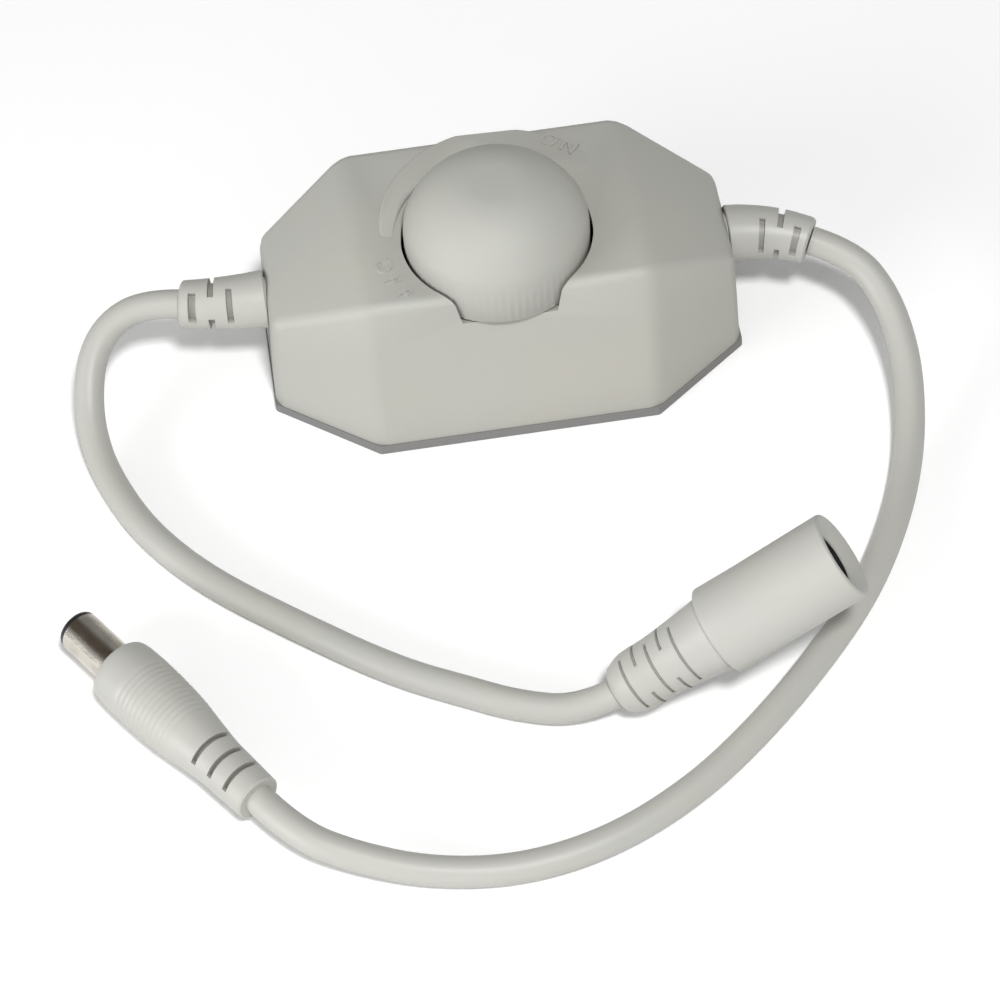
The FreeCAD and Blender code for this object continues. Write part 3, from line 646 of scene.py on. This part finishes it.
def housingOutline(inset, height):
    share = height / housing["endHeight"]
    halfWidth = halfway(housing["width"], housing["plateauWidth"], height / housing["height"])
    halfLength = halfway(housing["length"], housing["lengthAtWallTop"], share)
    endHalf = halfway(housing["endWall"], housing["endWallTop"], share)
    longHalf = housing["longWall"] / 2
    turn = math.atan2(halfWidth - endHalf, halfLength - longHalf)
    longHalf -= inset * math.tan(turn / 2)
    endHalf -= inset * math.tan((math.pi / 2 - turn) / 2)
    halfWidth -= inset
    halfLength -= inset
    right = [(longHalf, halfWidth), (halfLength, endHalf), (halfLength, -endHalf), (longHalf, -halfWidth)]
    return right + [(-x, -y) for x, y in right]


def outlineRing(bm, inset, height):
    return [bm.verts.new((x * mm, y * mm, height * mm)) for x, y in housingOutline(inset, height)]


def joinRings(bm, pairs):
    for lower, upper in pairs:
        for i in range(len(lower)):
            j = (i + 1) % len(lower)
            bm.faces.new((lower[i], lower[j], upper[j], upper[i]))


def casingMesh(inset, low, high):
    bm = bmesh.new()
    rings = []
    for height in [low] + [level for level in housing["levels"] if low < level < high] + [high]:
        rings.append(outlineRing(bm, inset, height))
    bm.faces.new(rings[0])
    bm.faces.new(rings[-1])
    joinRings(bm, zip(rings, rings[1:]))
    edgeX = housingOutline(0, housing["height"])[0][0]
    footX = housingOutline(0, housing["endHeight"])[1][0]
    angle = math.atan2(housing["height"] - housing["endHeight"], footX - edgeX)
    for side in (1, -1):
        outward = Vector((side * math.sin(angle), 0, math.cos(angle)))
        point = (Vector((side * edgeX, 0, housing["height"])) - outward * inset) * mm
        geom = list(bm.verts) + list(bm.edges) + list(bm.faces)
        cut = bmesh.ops.bisect_plane(bm, geom=geom, dist=planeTolerance * mm, plane_co=point,
                                     plane_no=outward, clear_outer=True)
        rim = [item for item in cut["geom_cut"] if isinstance(item, bmesh.types.BMEdge)]
        bmesh.ops.contextual_create(bm, geom=rim)
    bmesh.ops.remove_doubles(bm, verts=bm.verts, dist=casingWeld * mm)
    faceOut(bm)
    return bm


def cylinderMesh(radius, low, high, y, sides):
    bm = bmesh.new()
    move = Matrix.Translation(Vector((0, y, (low + high) / 2)) * mm)
    bmesh.ops.create_cone(bm, cap_ends=True, segments=sides, radius1=radius * mm, radius2=radius * mm,
                          depth=(high - low) * mm, matrix=move)
    return bm


def carve(target, cutters, bevelWidth, bevelFrom):
    # takes the cutters away from the target, softens its edges and gives the finished mesh
    for cutter in cutters:
        tool = target.modifiers.new("carve", "BOOLEAN")
        tool.operation = "DIFFERENCE"
        tool.solver = "EXACT"
        tool.object = cutter
    soft = target.modifiers.new("soften", "BEVEL")
    soft.width = bevelWidth * mm
    soft.segments = 2
    soft.limit_method = "ANGLE"
    soft.angle_limit = math.radians(bevelFrom)
    soft.use_clamp_overlap = True
    bpy.context.view_layer.update()
    shaped = target.evaluated_get(bpy.context.evaluated_depsgraph_get())
    mesh = bpy.data.meshes.new_from_object(shaped)
    for thing in cutters + [target]:
        bpy.data.objects.remove(thing)
    return mesh


def makeTopCover():
    outer = casingMesh(0, housing["seam"], housing["height"])
    edges = []
    for edge in outer.edges:
        high = max(vert.co.z for vert in edge.verts)
        sharp = edge.calc_face_angle(0) > math.radians(housing["roundFrom"])
        if sharp and high > housing["seam"] * 2 * mm:
            edges.append(edge)
    roundEdges(outer, edges, housing["round"], housing["roundSteps"])
    shell = meshObject("coverStock", outer)
    cavity = casingMesh(housing["wall"], housing["cavityLow"], housing["height"] - housing["wall"])
    cutters = [meshObject("coverCavity", cavity)]
    opening = cylinderMesh(housing["openingRadius"], housing["openingFloor"],
                           housing["height"] + housing["openingReach"], housing["openingY"],
                           housing["openingSides"])
    cutters.append(meshObject("coverOpening", opening))
    half = housing["slotHalfWidth"]
    bm = bmesh.new()
    bmesh.ops.create_cube(bm, size=1.0)
    length = housing["length"] * housing["slotReach"]
    bmesh.ops.scale(bm, verts=bm.verts, vec=Vector((length, 2 * half, housing["reliefZ"])) * mm)
    bmesh.ops.translate(bm, verts=bm.verts, vec=Vector((0, 0, housing["reliefZ"] / 2)) * mm)
    cutters.append(meshObject("reliefSlot", bm))
    bm = cylinderMesh(half, -length / 2, length / 2, 0, housing["slotSides"])
    bmesh.ops.rotate(bm, verts=bm.verts, matrix=Matrix.Rotation(math.radians(90), 3, "Y"))
    bmesh.ops.translate(bm, verts=bm.verts, vec=Vector((0, 0, housing["reliefZ"])) * mm)
    cutters.append(meshObject("reliefSlotTop", bm))
    mesh = carve(shell, cutters, housing["softEdge"], housing["softFrom"])
    return addMesh("coverShell", mesh, "housing_plastic", "housing", ["top_cover"], housing["smoothAngle"])


crescent = {
    "radius": 16.0,
    "shift": (1.0, 2.5),
    "innerMargin": 0.9,
    "start": 30.0,
    "fadeEnd": 100.0,
    "end": 174.0,
    "endFade": 22.0,
    "height": 0.8,
    "sunk": 0.6,
    "leastRise": 0.5,
    "hidden": 0.1,
    "steps": 56,
    "backLimit": 14.0,
    "leastSlope": 0.05,
    "round": 0.35,
}


def spotOf(vert):
    return round(vert.co.x, 8), round(vert.co.y, 8)


def makeCrescent():
    # raised between the opening and an arc about a shifted centre, sinking into the top at both ends
    bm = bmesh.new()
    inner = housing["openingRadius"] + crescent["innerMargin"]
    shift = Vector(crescent["shift"])
    outerVerts = []
    innerVerts = []
    rises = {}
    for i in range(crescent["steps"] + 1):
        degrees = crescent["start"] + (crescent["end"] - crescent["start"]) * i / crescent["steps"]
        share = min(1.0, (degrees - crescent["start"]) / (crescent["fadeEnd"] - crescent["start"]),
                    (crescent["end"] - degrees) / crescent["endFade"])
        angle = math.radians(degrees)
        ray = Vector((math.cos(angle), math.sin(angle)))
        along = ray.dot(shift)
        reach = along + math.sqrt(along ** 2 - shift.length_squared + crescent["radius"] ** 2)
        back = crescent["backLimit"] - housing["openingY"]
        reach = min(reach, back / max(ray.y, crescent["leastSlope"]))
        rise = crescent["leastRise"] + (crescent["hidden"] + crescent["height"]) * share
        for distance, kept in ((inner, innerVerts), (reach, outerVerts)):
            x, y = ray * distance
            z = housing["height"] - crescent["sunk"]
            vert = bm.verts.new((x * mm, (y + housing["openingY"]) * mm, z * mm))
            kept.append(vert)
            rises[spotOf(vert)] = rise
    face = bm.faces.new(outerVerts + innerVerts[::-1])
    raised = bmesh.ops.extrude_face_region(bm, geom=[face])["geom"]
    top = [item for item in raised if isinstance(item, bmesh.types.BMVert)]
    for vert in top:
        vert.co.z += rises[spotOf(vert)] * mm
    faceOut(bm)
    topVerts = set(top)
    rim = [edge for edge in bm.edges if all(vert in topVerts for vert in edge.verts)]
    roundEdges(bm, rim, crescent["round"])
    return addPiece("coverCrescent", bm, "housing_plastic", "housing")


# each word has a radius, a middle angle, a pitch, a facing (True: tops towards the knob) and a lift
letters = {
    "size": 3.0,
    "rise": 0.22,
    "sunk": 0.3,
    "words": (
        ("OFF", 15.6, -158.0, 10.5, True, 0.0),
        ("ON", 17.6, 54.0, 9.5, False, 0.2),
    ),
}


def letterMesh(sign):
    curve = bpy.data.curves.new("letter" + sign, "FONT")
    curve.body = sign
    curve.size = letters["size"] * mm
    curve.align_x = "CENTER"
    curve.align_y = "CENTER"
    curve.extrude = (letters["rise"] + letters["sunk"]) / 2 * mm
    thing = bpy.data.objects.new("letter" + sign, curve)
    bpy.context.scene.collection.objects.link(thing)
    bpy.context.view_layer.update()
    mesh = bpy.data.meshes.new_from_object(thing.evaluated_get(bpy.context.evaluated_depsgraph_get()))
    bpy.data.objects.remove(thing)
    return mesh


def makeLetters():
    # raised signs on an arc round the knob, tops towards it in front and away from it behind
    bm = bmesh.new()
    for word, radius, middle, pitch, inward, lift in letters["words"]:
        for number, sign in enumerate(word):
            step = (number - (len(word) - 1) / 2) * pitch
            angle = middle + step if inward else middle - step
            turn = angle + 90 if inward else angle - 90
            spin = Matrix.Rotation(math.radians(turn), 4, "Z")
            out = Vector((math.cos(math.radians(angle)), math.sin(math.radians(angle)), 0)) * radius
            height = housing["height"] + lift + (letters["rise"] - letters["sunk"]) / 2
            place = Vector((out.x, out.y + housing["openingY"], height)) * mm
            mesh = letterMesh(sign)
            mesh.transform(Matrix.Translation(place) @ spin)
            bm.from_mesh(mesh)
            bpy.data.meshes.remove(mesh)
    return addPiece("coverLetters", bm, "housing_plastic", "housing")


baseEdge = {
    "proud": 0.15,
    "thickness": 0.9,
    "low": 0.1,
    "round": 0.25,
}


def makeBaseEdge():
    # edge of the base cover, seen as a line round the foot of the housing; its grey is darkened as painted
    # shade for the shadow there
    bm = bmesh.new()
    outer = -baseEdge["proud"]
    inner = baseEdge["thickness"]
    low = baseEdge["low"]
    high = housing["seam"]
    corners = ((outer, low), (outer, high), (inner, high), (inner, low))
    rings = [outlineRing(bm, inset, height) for inset, height in corners]
    joinRings(bm, zip(rings, rings[1:] + rings[:1]))
    faceOut(bm)
    tall = (high - low) / 2 * mm
    upright = [edge for edge in bm.edges if abs(edge.verts[0].co.z - edge.verts[1].co.z) > tall]
    roundEdges(bm, upright, baseEdge["round"])
    return addPiece("baseEdge", bm, "base_plastic", "housing")


print("stage: housing")
makeTopCover()
makeBaseEdge()
makeCrescent()
makeLetters()


# Knob

knob = {
    "radius": 12.1,
    "bottom": 20.4,
    "crease": 26.8,
    "top": 34.2,
    "flatRadius": 3.0,
    "bulge": 1.9,
    "footEdge": 0.35,
    "creaseDip": ((0.02, -0.7), (0.05, -0.3), (0.12, 0.08)),
    "ribs": 76,
    "ribDepth": 0.06,
    "ribFade": 1.4,
    "ribEnd": 0.2,
    "ribSkin": 0.5,
    "wall": 1.7,
    "roofShare": 0.6,
    "arcSteps": 20,
    "smoothAngle": 50,
}


def domeArc(foot, top, bulge, steps):
    # points of an arc from foot to top that stands out from their chord by the bulge
    chord = Vector(top) - Vector(foot)
    normal = Vector((chord.y, -chord.x)).normalized()
    if normal.x < 0:
        normal = -normal
    radius = (chord.length ** 2 / 4 + bulge ** 2) / (2 * bulge)
    centre = (Vector(foot) + Vector(top)) / 2 - normal * (radius - bulge)
    first = Vector(foot) - centre
    last = Vector(top) - centre
    return [tuple(centre + first.slerp(last, i / steps) * radius) for i in range(steps + 1)]


def makeKnob():
    radius = knob["radius"]
    foot = (radius, knob["crease"])
    top = (knob["flatRadius"], knob["top"])
    dome = domeArc(foot, top, knob["bulge"], knob["arcSteps"])
    wall = knob["wall"]
    inner = [(r - wall, z - wall * knob["roofShare"]) for r, z in dome if r > wall * 2]
    outside = [(radius - knob["footEdge"], knob["bottom"]), (radius, knob["bottom"] + knob["footEdge"])]
    outside += [(radius, knob["crease"] - knob["ribFade"])]
    outside += [(radius - depth, knob["crease"] + height) for depth, height in knob["creaseDip"]]
    profile = [(axisRadius, knob["top"])] + dome[::-1][:-1] + outside[::-1]
    profile += [(radius - wall, knob["bottom"])] + inner + [(axisRadius, inner[-1][1])]
    bm = spinProfile(profile, 4 * knob["ribs"])
    for vert in bm.verts:
        distance = math.hypot(vert.co.x, vert.co.y) / mm
        height = vert.co.z / mm
        if distance < radius - knob["ribSkin"] or height > knob["crease"] - knob["ribEnd"]:
            continue
        fade = min(1.0, (knob["crease"] - height) / knob["ribFade"])
        dip = knob["ribDepth"] * fade * swing(math.atan2(vert.co.y, vert.co.x) * knob["ribs"])
        vert.co.x *= 1 - dip / distance
        vert.co.y *= 1 - dip / distance
    bmesh.ops.translate(bm, verts=bm.verts, vec=Vector((0, housing["openingY"], 0)) * mm)
    return addPiece("knobCap", bm, "knob_plastic", "knob", ["knob"], knob["smoothAngle"])


print("stage: knob")
makeKnob()


# Leads

cable = {
    "radius": 0.00195,
    "order": 3,
    "pathSteps": 10,
    "ringSteps": 8,
    "jackPoints": [
        (-0.04217, 0.00117, 0.0140), (-0.0467, 0.0021, 0.0140), (-0.0516, 0.0012, 0.0123),
        (-0.0549, -0.0017, 0.0092), (-0.0562, -0.0073, 0.0050), (-0.0556, -0.0132, 0.0026),
        (-0.0536, -0.0194, 0.0020), (-0.0509, -0.0255, 0.0020), (-0.0475, -0.0307, 0.0020),
        (-0.0436, -0.0354, 0.0020), (-0.0392, -0.0397, 0.0020), (-0.0344, -0.0438, 0.0020),
        (-0.0295, -0.0479, 0.0020), (-0.0246, -0.0519, 0.0020), (-0.0190, -0.0559, 0.0020),
        (-0.0134, -0.0591, 0.0022), (-0.0068, -0.0628, 0.0022), (0.0006, -0.0651, 0.0024),
        (0.0056, -0.0649, 0.0051),
    ],
    "plugPoints": [
        (0.04181, -0.00256, 0.01319), (0.0470, -0.0052, 0.0123), (0.0503, -0.0110, 0.0098),
        (0.0514, -0.0186, 0.0066), (0.0505, -0.0266, 0.0038), (0.0482, -0.0348, 0.0021),
        (0.0443, -0.0438, 0.0020), (0.0388, -0.0532, 0.0020), (0.0312, -0.0622, 0.0020),
        (0.0224, -0.0710, 0.0020), (0.0130, -0.0786, 0.0020), (0.0020, -0.0843, 0.0020),
        (-0.0096, -0.0866, 0.0020), (-0.0206, -0.0852, 0.0022), (-0.0296, -0.0820, 0.0034),
        (-0.0360, -0.0784, 0.00465), (-0.0399, -0.0726, 0.00465),
    ],
}


def makeCord(name, points, radius, body, replaced):
    curve = bpy.data.curves.new(name, "CURVE")
    curve.dimensions = "3D"
    spline = curve.splines.new("NURBS")
    spline.points.add(len(points) - 1)
    for target, point in zip(spline.points, points):
        target.co = (*point, 1.0)
    spline.order_u = cable["order"]
    spline.use_endpoint_u = True
    spline.resolution_u = cable["pathSteps"]
    curve.bevel_depth = radius
    curve.bevel_resolution = cable["ringSteps"]
    curve.use_fill_caps = True
    piece = bpy.data.objects.new(name, curve)
    bpy.context.scene.collection.objects.link(piece)
    curve.materials.append(leadVinyl)
    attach(piece, body)
    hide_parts(*replaced)
    return piece


print("stage: cords")
jackCord = makeCord("jackCord", cable["jackPoints"], cable["radius"], "housing", ["jack_cable"])
plugCord = makeCord("plugCord", cable["plugPoints"], cable["radius"], "housing", ["plug_cable"])


# each slot has a place along the relief, a width, a turn and a span
relief = {
    "length": 11.2,
    "wallRadius": 3.85,
    "wallEdge": 0.15,
    "endRadius": 3.1,
    "endEdge": 0.3,
    "endSwell": 0.02,
    "sideSteps": 12,
    "shoulderX": 30.85,
    "neckRadius": 2.9,
    "neckLength": 2.5,
    "slots": ((4.6, 1.0, 0.0, 85.0), (7.0, 1.0, 90.0, 130.0), (9.4, 1.2, 0.0, 80.0)),
    "slotDepth": 0.7,
    # how strongly painted shade darkens the slot floors
    "slotShadeLevel": 0.6,
    "facing": 36.0,
}


def bendPoint(point, side, bend, towards):
    # point in the straight relief's frame: z along it, x level, y up
    angle = math.radians(bend)
    radius = relief["length"] / angle
    share = max(0.0, min(1.0, point.z / relief["length"]))
    turn = angle * share
    out = Vector((side, 0, 0))
    away = Vector(towards).normalized()
    heading = out * math.cos(turn) + away * math.sin(turn)
    centre = out * (radius * math.sin(turn)) + away * (radius * (1 - math.cos(turn)))
    level = zAxis.cross(heading).normalized()
    over = point.z - relief["length"] * share
    start = Vector((side * relief["shoulderX"], 0, housing["reliefZ"]))
    return start + centre + heading * over + level * point.x + heading.cross(level) * point.y


def makeRelief(name, side, bend, towards, node):
    length = relief["length"]
    wallEdge = relief["wallEdge"]
    endEdge = relief["endEdge"]
    spans = [spanOf(slot[0], slot[1]) for slot in relief["slots"]]
    steps = [length * i / relief["sideSteps"] for i in range(1, relief["sideSteps"])]
    skin = [(relief["wallRadius"] - wallEdge, 0), (relief["wallRadius"], wallEdge)]
    skin += [(relief["endRadius"] + relief["endSwell"], length - endEdge)]
    skin += [(relief["endRadius"] - endEdge, length)]
    skin = withSlots(withHeights(skin, steps), spans)
    foot = -relief["neckLength"]
    profile = [(axisRadius, foot), (relief["neckRadius"], foot), (relief["neckRadius"], 0)] + skin
    bm = spinProfile(profile + [(axisRadius, length)])
    facing = -90 + side * (90 - relief["facing"]) + 180
    slots = []
    for place, width, turn, span in relief["slots"]:
        slots += oppositePair(*spanOf(place, width), facing + turn, span)
    cutSlots(bm, slots, relief["slotDepth"], relief["slotShadeLevel"])
    for vert in bm.verts:
        vert.co = bendPoint(vert.co / mm, side, bend, towards) * mm
    return addPiece(name, bm, "lead_vinyl", "housing", [node], vinylSmooth)


print("stage: strain reliefs")
leftRelief = makeRelief("leftRelief", -1, 12.0, (0, 1, 0), "left_strain_relief")
rightRelief = makeRelief("rightRelief", 1, 28.0, (0, -0.95, -0.3), "right_strain_relief")


# Plug

plug = {
    "rear": (-39.9, -72.6, 4.65),
    "heading": 124.1,
    "length": 27.2,
    "rearEdge": 0.2,
    "neck": ((3.05, 0.0), (3.3, 7.6)),
    "swell": ((3.72, 11.0), (4.3, 15.0), (4.56, 19.0), (4.62, 23.0), (4.5, 26.0)),
    "swellSteps": 8,
    "frontRadius": 4.1,
    "frontSwell": 0.2,
    "frontRound": 0.6,
    "frontEdge": 0.9,
    "slotPlaces": (3.0, 5.8, 8.6),
    "slotWidth": 0.9,
    "slotDepth": 0.8,
    # how strongly painted shade darkens the slot floors
    "slotShadeLevel": 1.0,
    "slotFacing": -4.0,
    "slotSpan": 125.0,
    "ribs": 12,
    "ribStart": 13.0,
    "ribPitch": 0.8,
    "ribDepth": 0.07,
    "ribPoints": 4,
    "seatGap": 0.05,
    "seatDepth": 1.0,
    "barrelRadius": 2.75,
    "barrelLength": 9.0,
    "barrelWall": 0.35,
    "barrelSunk": 0.9,
    "barrelEdge": (0.08, 0.1),
    "tipLength": 0.8,
    "tipSunk": 6,
    "tipInset": 0.4,
    "tipStep": 0.04,
    "tipRound": 0.6,
    "boreRadius": 1.05,
    "boreGap": 0.3,
    "boreEdge": 0.15,
}


def placeConnector(bm, rear, heading, tilt):
    turn = Matrix.Rotation(math.radians(heading), 3, "Z") @ Matrix.Rotation(math.radians(90 - tilt), 3, "Y")
    bmesh.ops.rotate(bm, verts=bm.verts, matrix=turn)
    bmesh.ops.translate(bm, verts=bm.verts, vec=Vector(rear) * mm)


def makePlugBody():
    length = plug["length"]
    (rearRadius, rear), neckEnd = plug["neck"]
    swell = curved([neckEnd] + list(plug["swell"]), plug["swellSteps"])
    ribs = []
    for i in range(plug["ribs"]):
        low = plug["ribStart"] + i * plug["ribPitch"]
        ribs += [low + plug["ribPitch"] * k / plug["ribPoints"] for k in range(plug["ribPoints"])]
    skin = [(rearRadius - plug["rearEdge"], rear), (rearRadius, rear + plug["rearEdge"])]
    skin += withHeights(swell, ribs)
    ribbed = []
    ribEnd = plug["ribStart"] + plug["ribs"] * plug["ribPitch"]
    for radius, height in skin:
        phase = (height - plug["ribStart"]) / plug["ribPitch"] * 2 * math.pi
        inside = plug["ribStart"] <= height <= ribEnd
        ribbed.append((radius - inside * plug["ribDepth"] * swing(phase), height))
    front = (plug["frontRadius"] + plug["frontSwell"], length, plug["frontRound"])
    ribbed += roundedProfile([swell[-1], front, (plug["frontRadius"] - plug["frontEdge"], length)])[1:]
    spans = [spanOf(place, plug["slotWidth"]) for place in plug["slotPlaces"]]
    seat = plug["barrelRadius"] + plug["seatGap"]
    floor = length - plug["seatDepth"]
    profile = [(axisRadius, 0)] + withSlots(ribbed, spans)
    bm = spinProfile(profile + [(seat, length), (seat, floor), (axisRadius, floor)])
    slots = []
    for low, high in spans:
        slots += oppositePair(low, high, 180 + plug["slotFacing"], plug["slotSpan"])
    cutSlots(bm, slots, plug["slotDepth"], plug["slotShadeLevel"])
    placeConnector(bm, plug["rear"], plug["heading"], 0)
    return addPiece("plugBody", bm, "lead_vinyl", "housing", ["plug_overmould"], vinylSmooth)


def makePlugBarrel():
    top = plug["length"] + plug["barrelLength"] - plug["tipLength"]
    low = plug["length"] - plug["barrelSunk"]
    radius = plug["barrelRadius"]
    inner = radius - plug["barrelWall"]
    edgeWidth, edgeHeight = plug["barrelEdge"]
    profile = [(inner, low), (radius, low), (radius, top - edgeHeight)]
    profile += [(radius - edgeWidth, top), (inner, top), (inner, low)]
    bm = spinProfile(profile, fineSteps)
    placeConnector(bm, plug["rear"], plug["heading"], 0)
    return addPiece("plugBarrel", bm, "nickel_plate", "housing", ["plug_barrel"], hardSmooth)


def makePlugTip():
    top = plug["length"] + plug["barrelLength"]
    low = top - plug["tipLength"]
    foot = low - plug["tipSunk"]
    radius = plug["barrelRadius"] - plug["tipStep"]
    inner = plug["barrelRadius"] - plug["tipInset"]
    bore = plug["boreRadius"] + plug["boreGap"]
    profile = [(inner, foot), (inner, low), (radius, low)]
    profile += roundedProfile([(radius, low), (radius, top, plug["tipRound"]), (bore, top)])[1:-1]
    profile += [(bore + plug["boreEdge"], top), (bore, top - plug["boreEdge"]), (bore, foot), (inner, foot)]
    bm = spinProfile(profile, fineSteps)
    placeConnector(bm, plug["rear"], plug["heading"], 0)
    return addPiece("plugTip", bm, "connector_plastic", "housing", ["plug_insulator"], hardSmooth)


# a brown card seen only in reflections, for the dark stripe along the plug's barrel
card = {
    "towards": (-0.32, 0.376, 0.868),
    "along": (0.903, 0.396, 0.164),
    "distance": 0.6,
    "length": 0.80,
    "width": 0.30,
    "colour": (0.05, 0.036, 0.022),
    "grain": 90.0,
    "grainShade": 1.2,
}


def makeCard():
    out = Vector(card["towards"]).normalized()
    along = Vector(card["along"])
    along = (along - out * along.dot(out)).normalized()
    basis = Matrix((along, out.cross(along), out)).transposed().to_4x4()
    # a square with sides of one, drawn out to the card
    bm = bmesh.new()
    bmesh.ops.create_grid(bm, x_segments=1, y_segments=1, size=0.5)
    bmesh.ops.scale(bm, verts=bm.verts, vec=Vector((card["length"], card["width"], 1)))
    thing = meshObject("card", bm)
    place = Vector(plug["rear"]) * mm + out * card["distance"]
    thing.matrix_world = Matrix.Translation(place) @ basis
    shader = Shader("cardPaper", roughness=1.0)
    paper = shader.noise(card["grain"], 2.0)
    shader.colour(shader.tint(paper, card["colour"], shade(card["colour"], card["grainShade"])))
    thing.data.materials.append(shader.material)
    for flag in ("visible_camera", "visible_diffuse", "visible_shadow", "visible_transmission"):
        setattr(thing, flag, False)


print("stage: plug")
plugBody = makePlugBody()
plugBarrel = makePlugBarrel()
plugTip = makePlugTip()
makeCard()


# Jack

jack = {
    "rear": (5.6, -64.9, 5.1),
    "heading": 6.3,
    "tilt": 30.8,
    "length": 33.0,
    "rearEdge": 0.25,
    "reliefProfile": ((3.0, 0.0), (3.95, 2.4), (4.05, 6.0), (4.4, 10.0), (4.9, 14.4)),
    "reliefSteps": 6,
    "stepRadius": 5.85,
    "stepHeight": 0.5,
    "stepRound": 0.35,
    "stepRoundSteps": 3,
    "stepFade": 6,
    "radius": 5.75,
    "frontRound": 0.4,
    "groovePlaces": (2.7, 4.6, 6.5, 8.4, 10.3),
    "grooveWidth": 0.6,
    "grooveDepth": 0.4,
    # how strongly painted shade darkens the groove floors
    "grooveShadeLevel": 0.1,
    "grooveFacing": 41.0,
    "grooveSpan": 130.0,
    "recessRadius": 5.2,
    "recessDepth": 1.1,
    "throatRadius": 3.3,
    "throatEdge": 0.1,
    "throatLength": 0.3,
    "throatDepth": 1.2,
    "boreRadius": 3.15,
    "boreDepth": 10.4,
    "boreWall": 1.2,
    "boreFloor": 1.0,
    "pinRadius": 1.0,
    "pinTop": 28.9,
    "pinEnd": (0.25, 0.8),
    "pinBulge": 0.2,
    "pinArcSteps": 6,
    "pinSteps": 48,
}


def makeJackBody():
    length = jack["length"]
    spans = [spanOf(place, jack["grooveWidth"]) for place in jack["groovePlaces"]]
    skin = withSlots(curved(list(jack["reliefProfile"]), jack["reliefSteps"]), spans)
    rear = skin[0][0]
    skin = [(rear - jack["rearEdge"], 0), (rear, jack["rearEdge"])] + skin[1:]
    step = jack["reliefProfile"][-1][1]
    shoulder = (jack["stepRadius"], step + jack["stepHeight"], jack["stepRound"])
    barrel = (jack["radius"], step + jack["stepFade"])
    rim = (jack["radius"], length, jack["frontRound"])
    skin += roundedProfile([skin[-1], shoulder, barrel], jack["stepRoundSteps"])[1:]
    skin += roundedProfile([barrel, rim, (jack["recessRadius"], length)])[1:]
    floor = length - jack["recessDepth"]
    throat = jack["throatRadius"]
    skin += [(throat + jack["throatEdge"], floor), (throat, floor - jack["throatEdge"])]
    skin += [(throat, floor - jack["throatDepth"])]
    bm = spinProfile([(axisRadius, 0)] + skin, fineSteps)
    slots = []
    for number, (low, high) in enumerate(spans):
        facing = 180 + jack["grooveFacing"] + 90 * (number % 2)
        slots += oppositePair(low, high, facing, jack["grooveSpan"])
    cutSlots(bm, slots, jack["grooveDepth"], jack["grooveShadeLevel"])
    placeConnector(bm, jack["rear"], jack["heading"], jack["tilt"])
    return addPiece("jackBody", bm, "lead_vinyl", "housing", ["jack_overmould"], vinylSmooth)


def makeJackBore():
    top = jack["length"] - jack["recessDepth"] - jack["throatLength"]
    low = jack["length"] - jack["boreDepth"]
    foot = low - jack["boreFloor"]
    bore = jack["boreRadius"]
    outer = bore + jack["boreWall"]
    profile = [(axisRadius, foot), (outer, foot), (outer, top), (bore, top), (bore, low), (axisRadius, low)]
    bm = spinProfile(profile, fineSteps)
    placeConnector(bm, jack["rear"], jack["heading"], jack["tilt"])
    return addPiece("jackBore", bm, "connector_plastic", "housing", ["jack_insulator"], hardSmooth)


def makeJackPin():
    low = jack["length"] - jack["boreDepth"] - jack["boreFloor"]
    top = jack["pinTop"]
    radius = jack["pinRadius"]
    endRadius, endHeight = jack["pinEnd"]
    dome = domeArc((radius, top - endHeight), (endRadius, top), jack["pinBulge"], jack["pinArcSteps"])
    profile = [(axisRadius, low), (radius, low)] + dome + [(axisRadius, top)]
    bm = spinProfile(profile, jack["pinSteps"])
    placeConnector(bm, jack["rear"], jack["heading"], jack["tilt"])
    return addPiece("jackPin", bm, "nickel_plate", "housing", ["jack_centre_pin"], hardSmooth)


print("stage: jack")
jackBody = makeJackBody()
jackBore = makeJackBore()
jackPin = makeJackPin()

print("stage: finish")
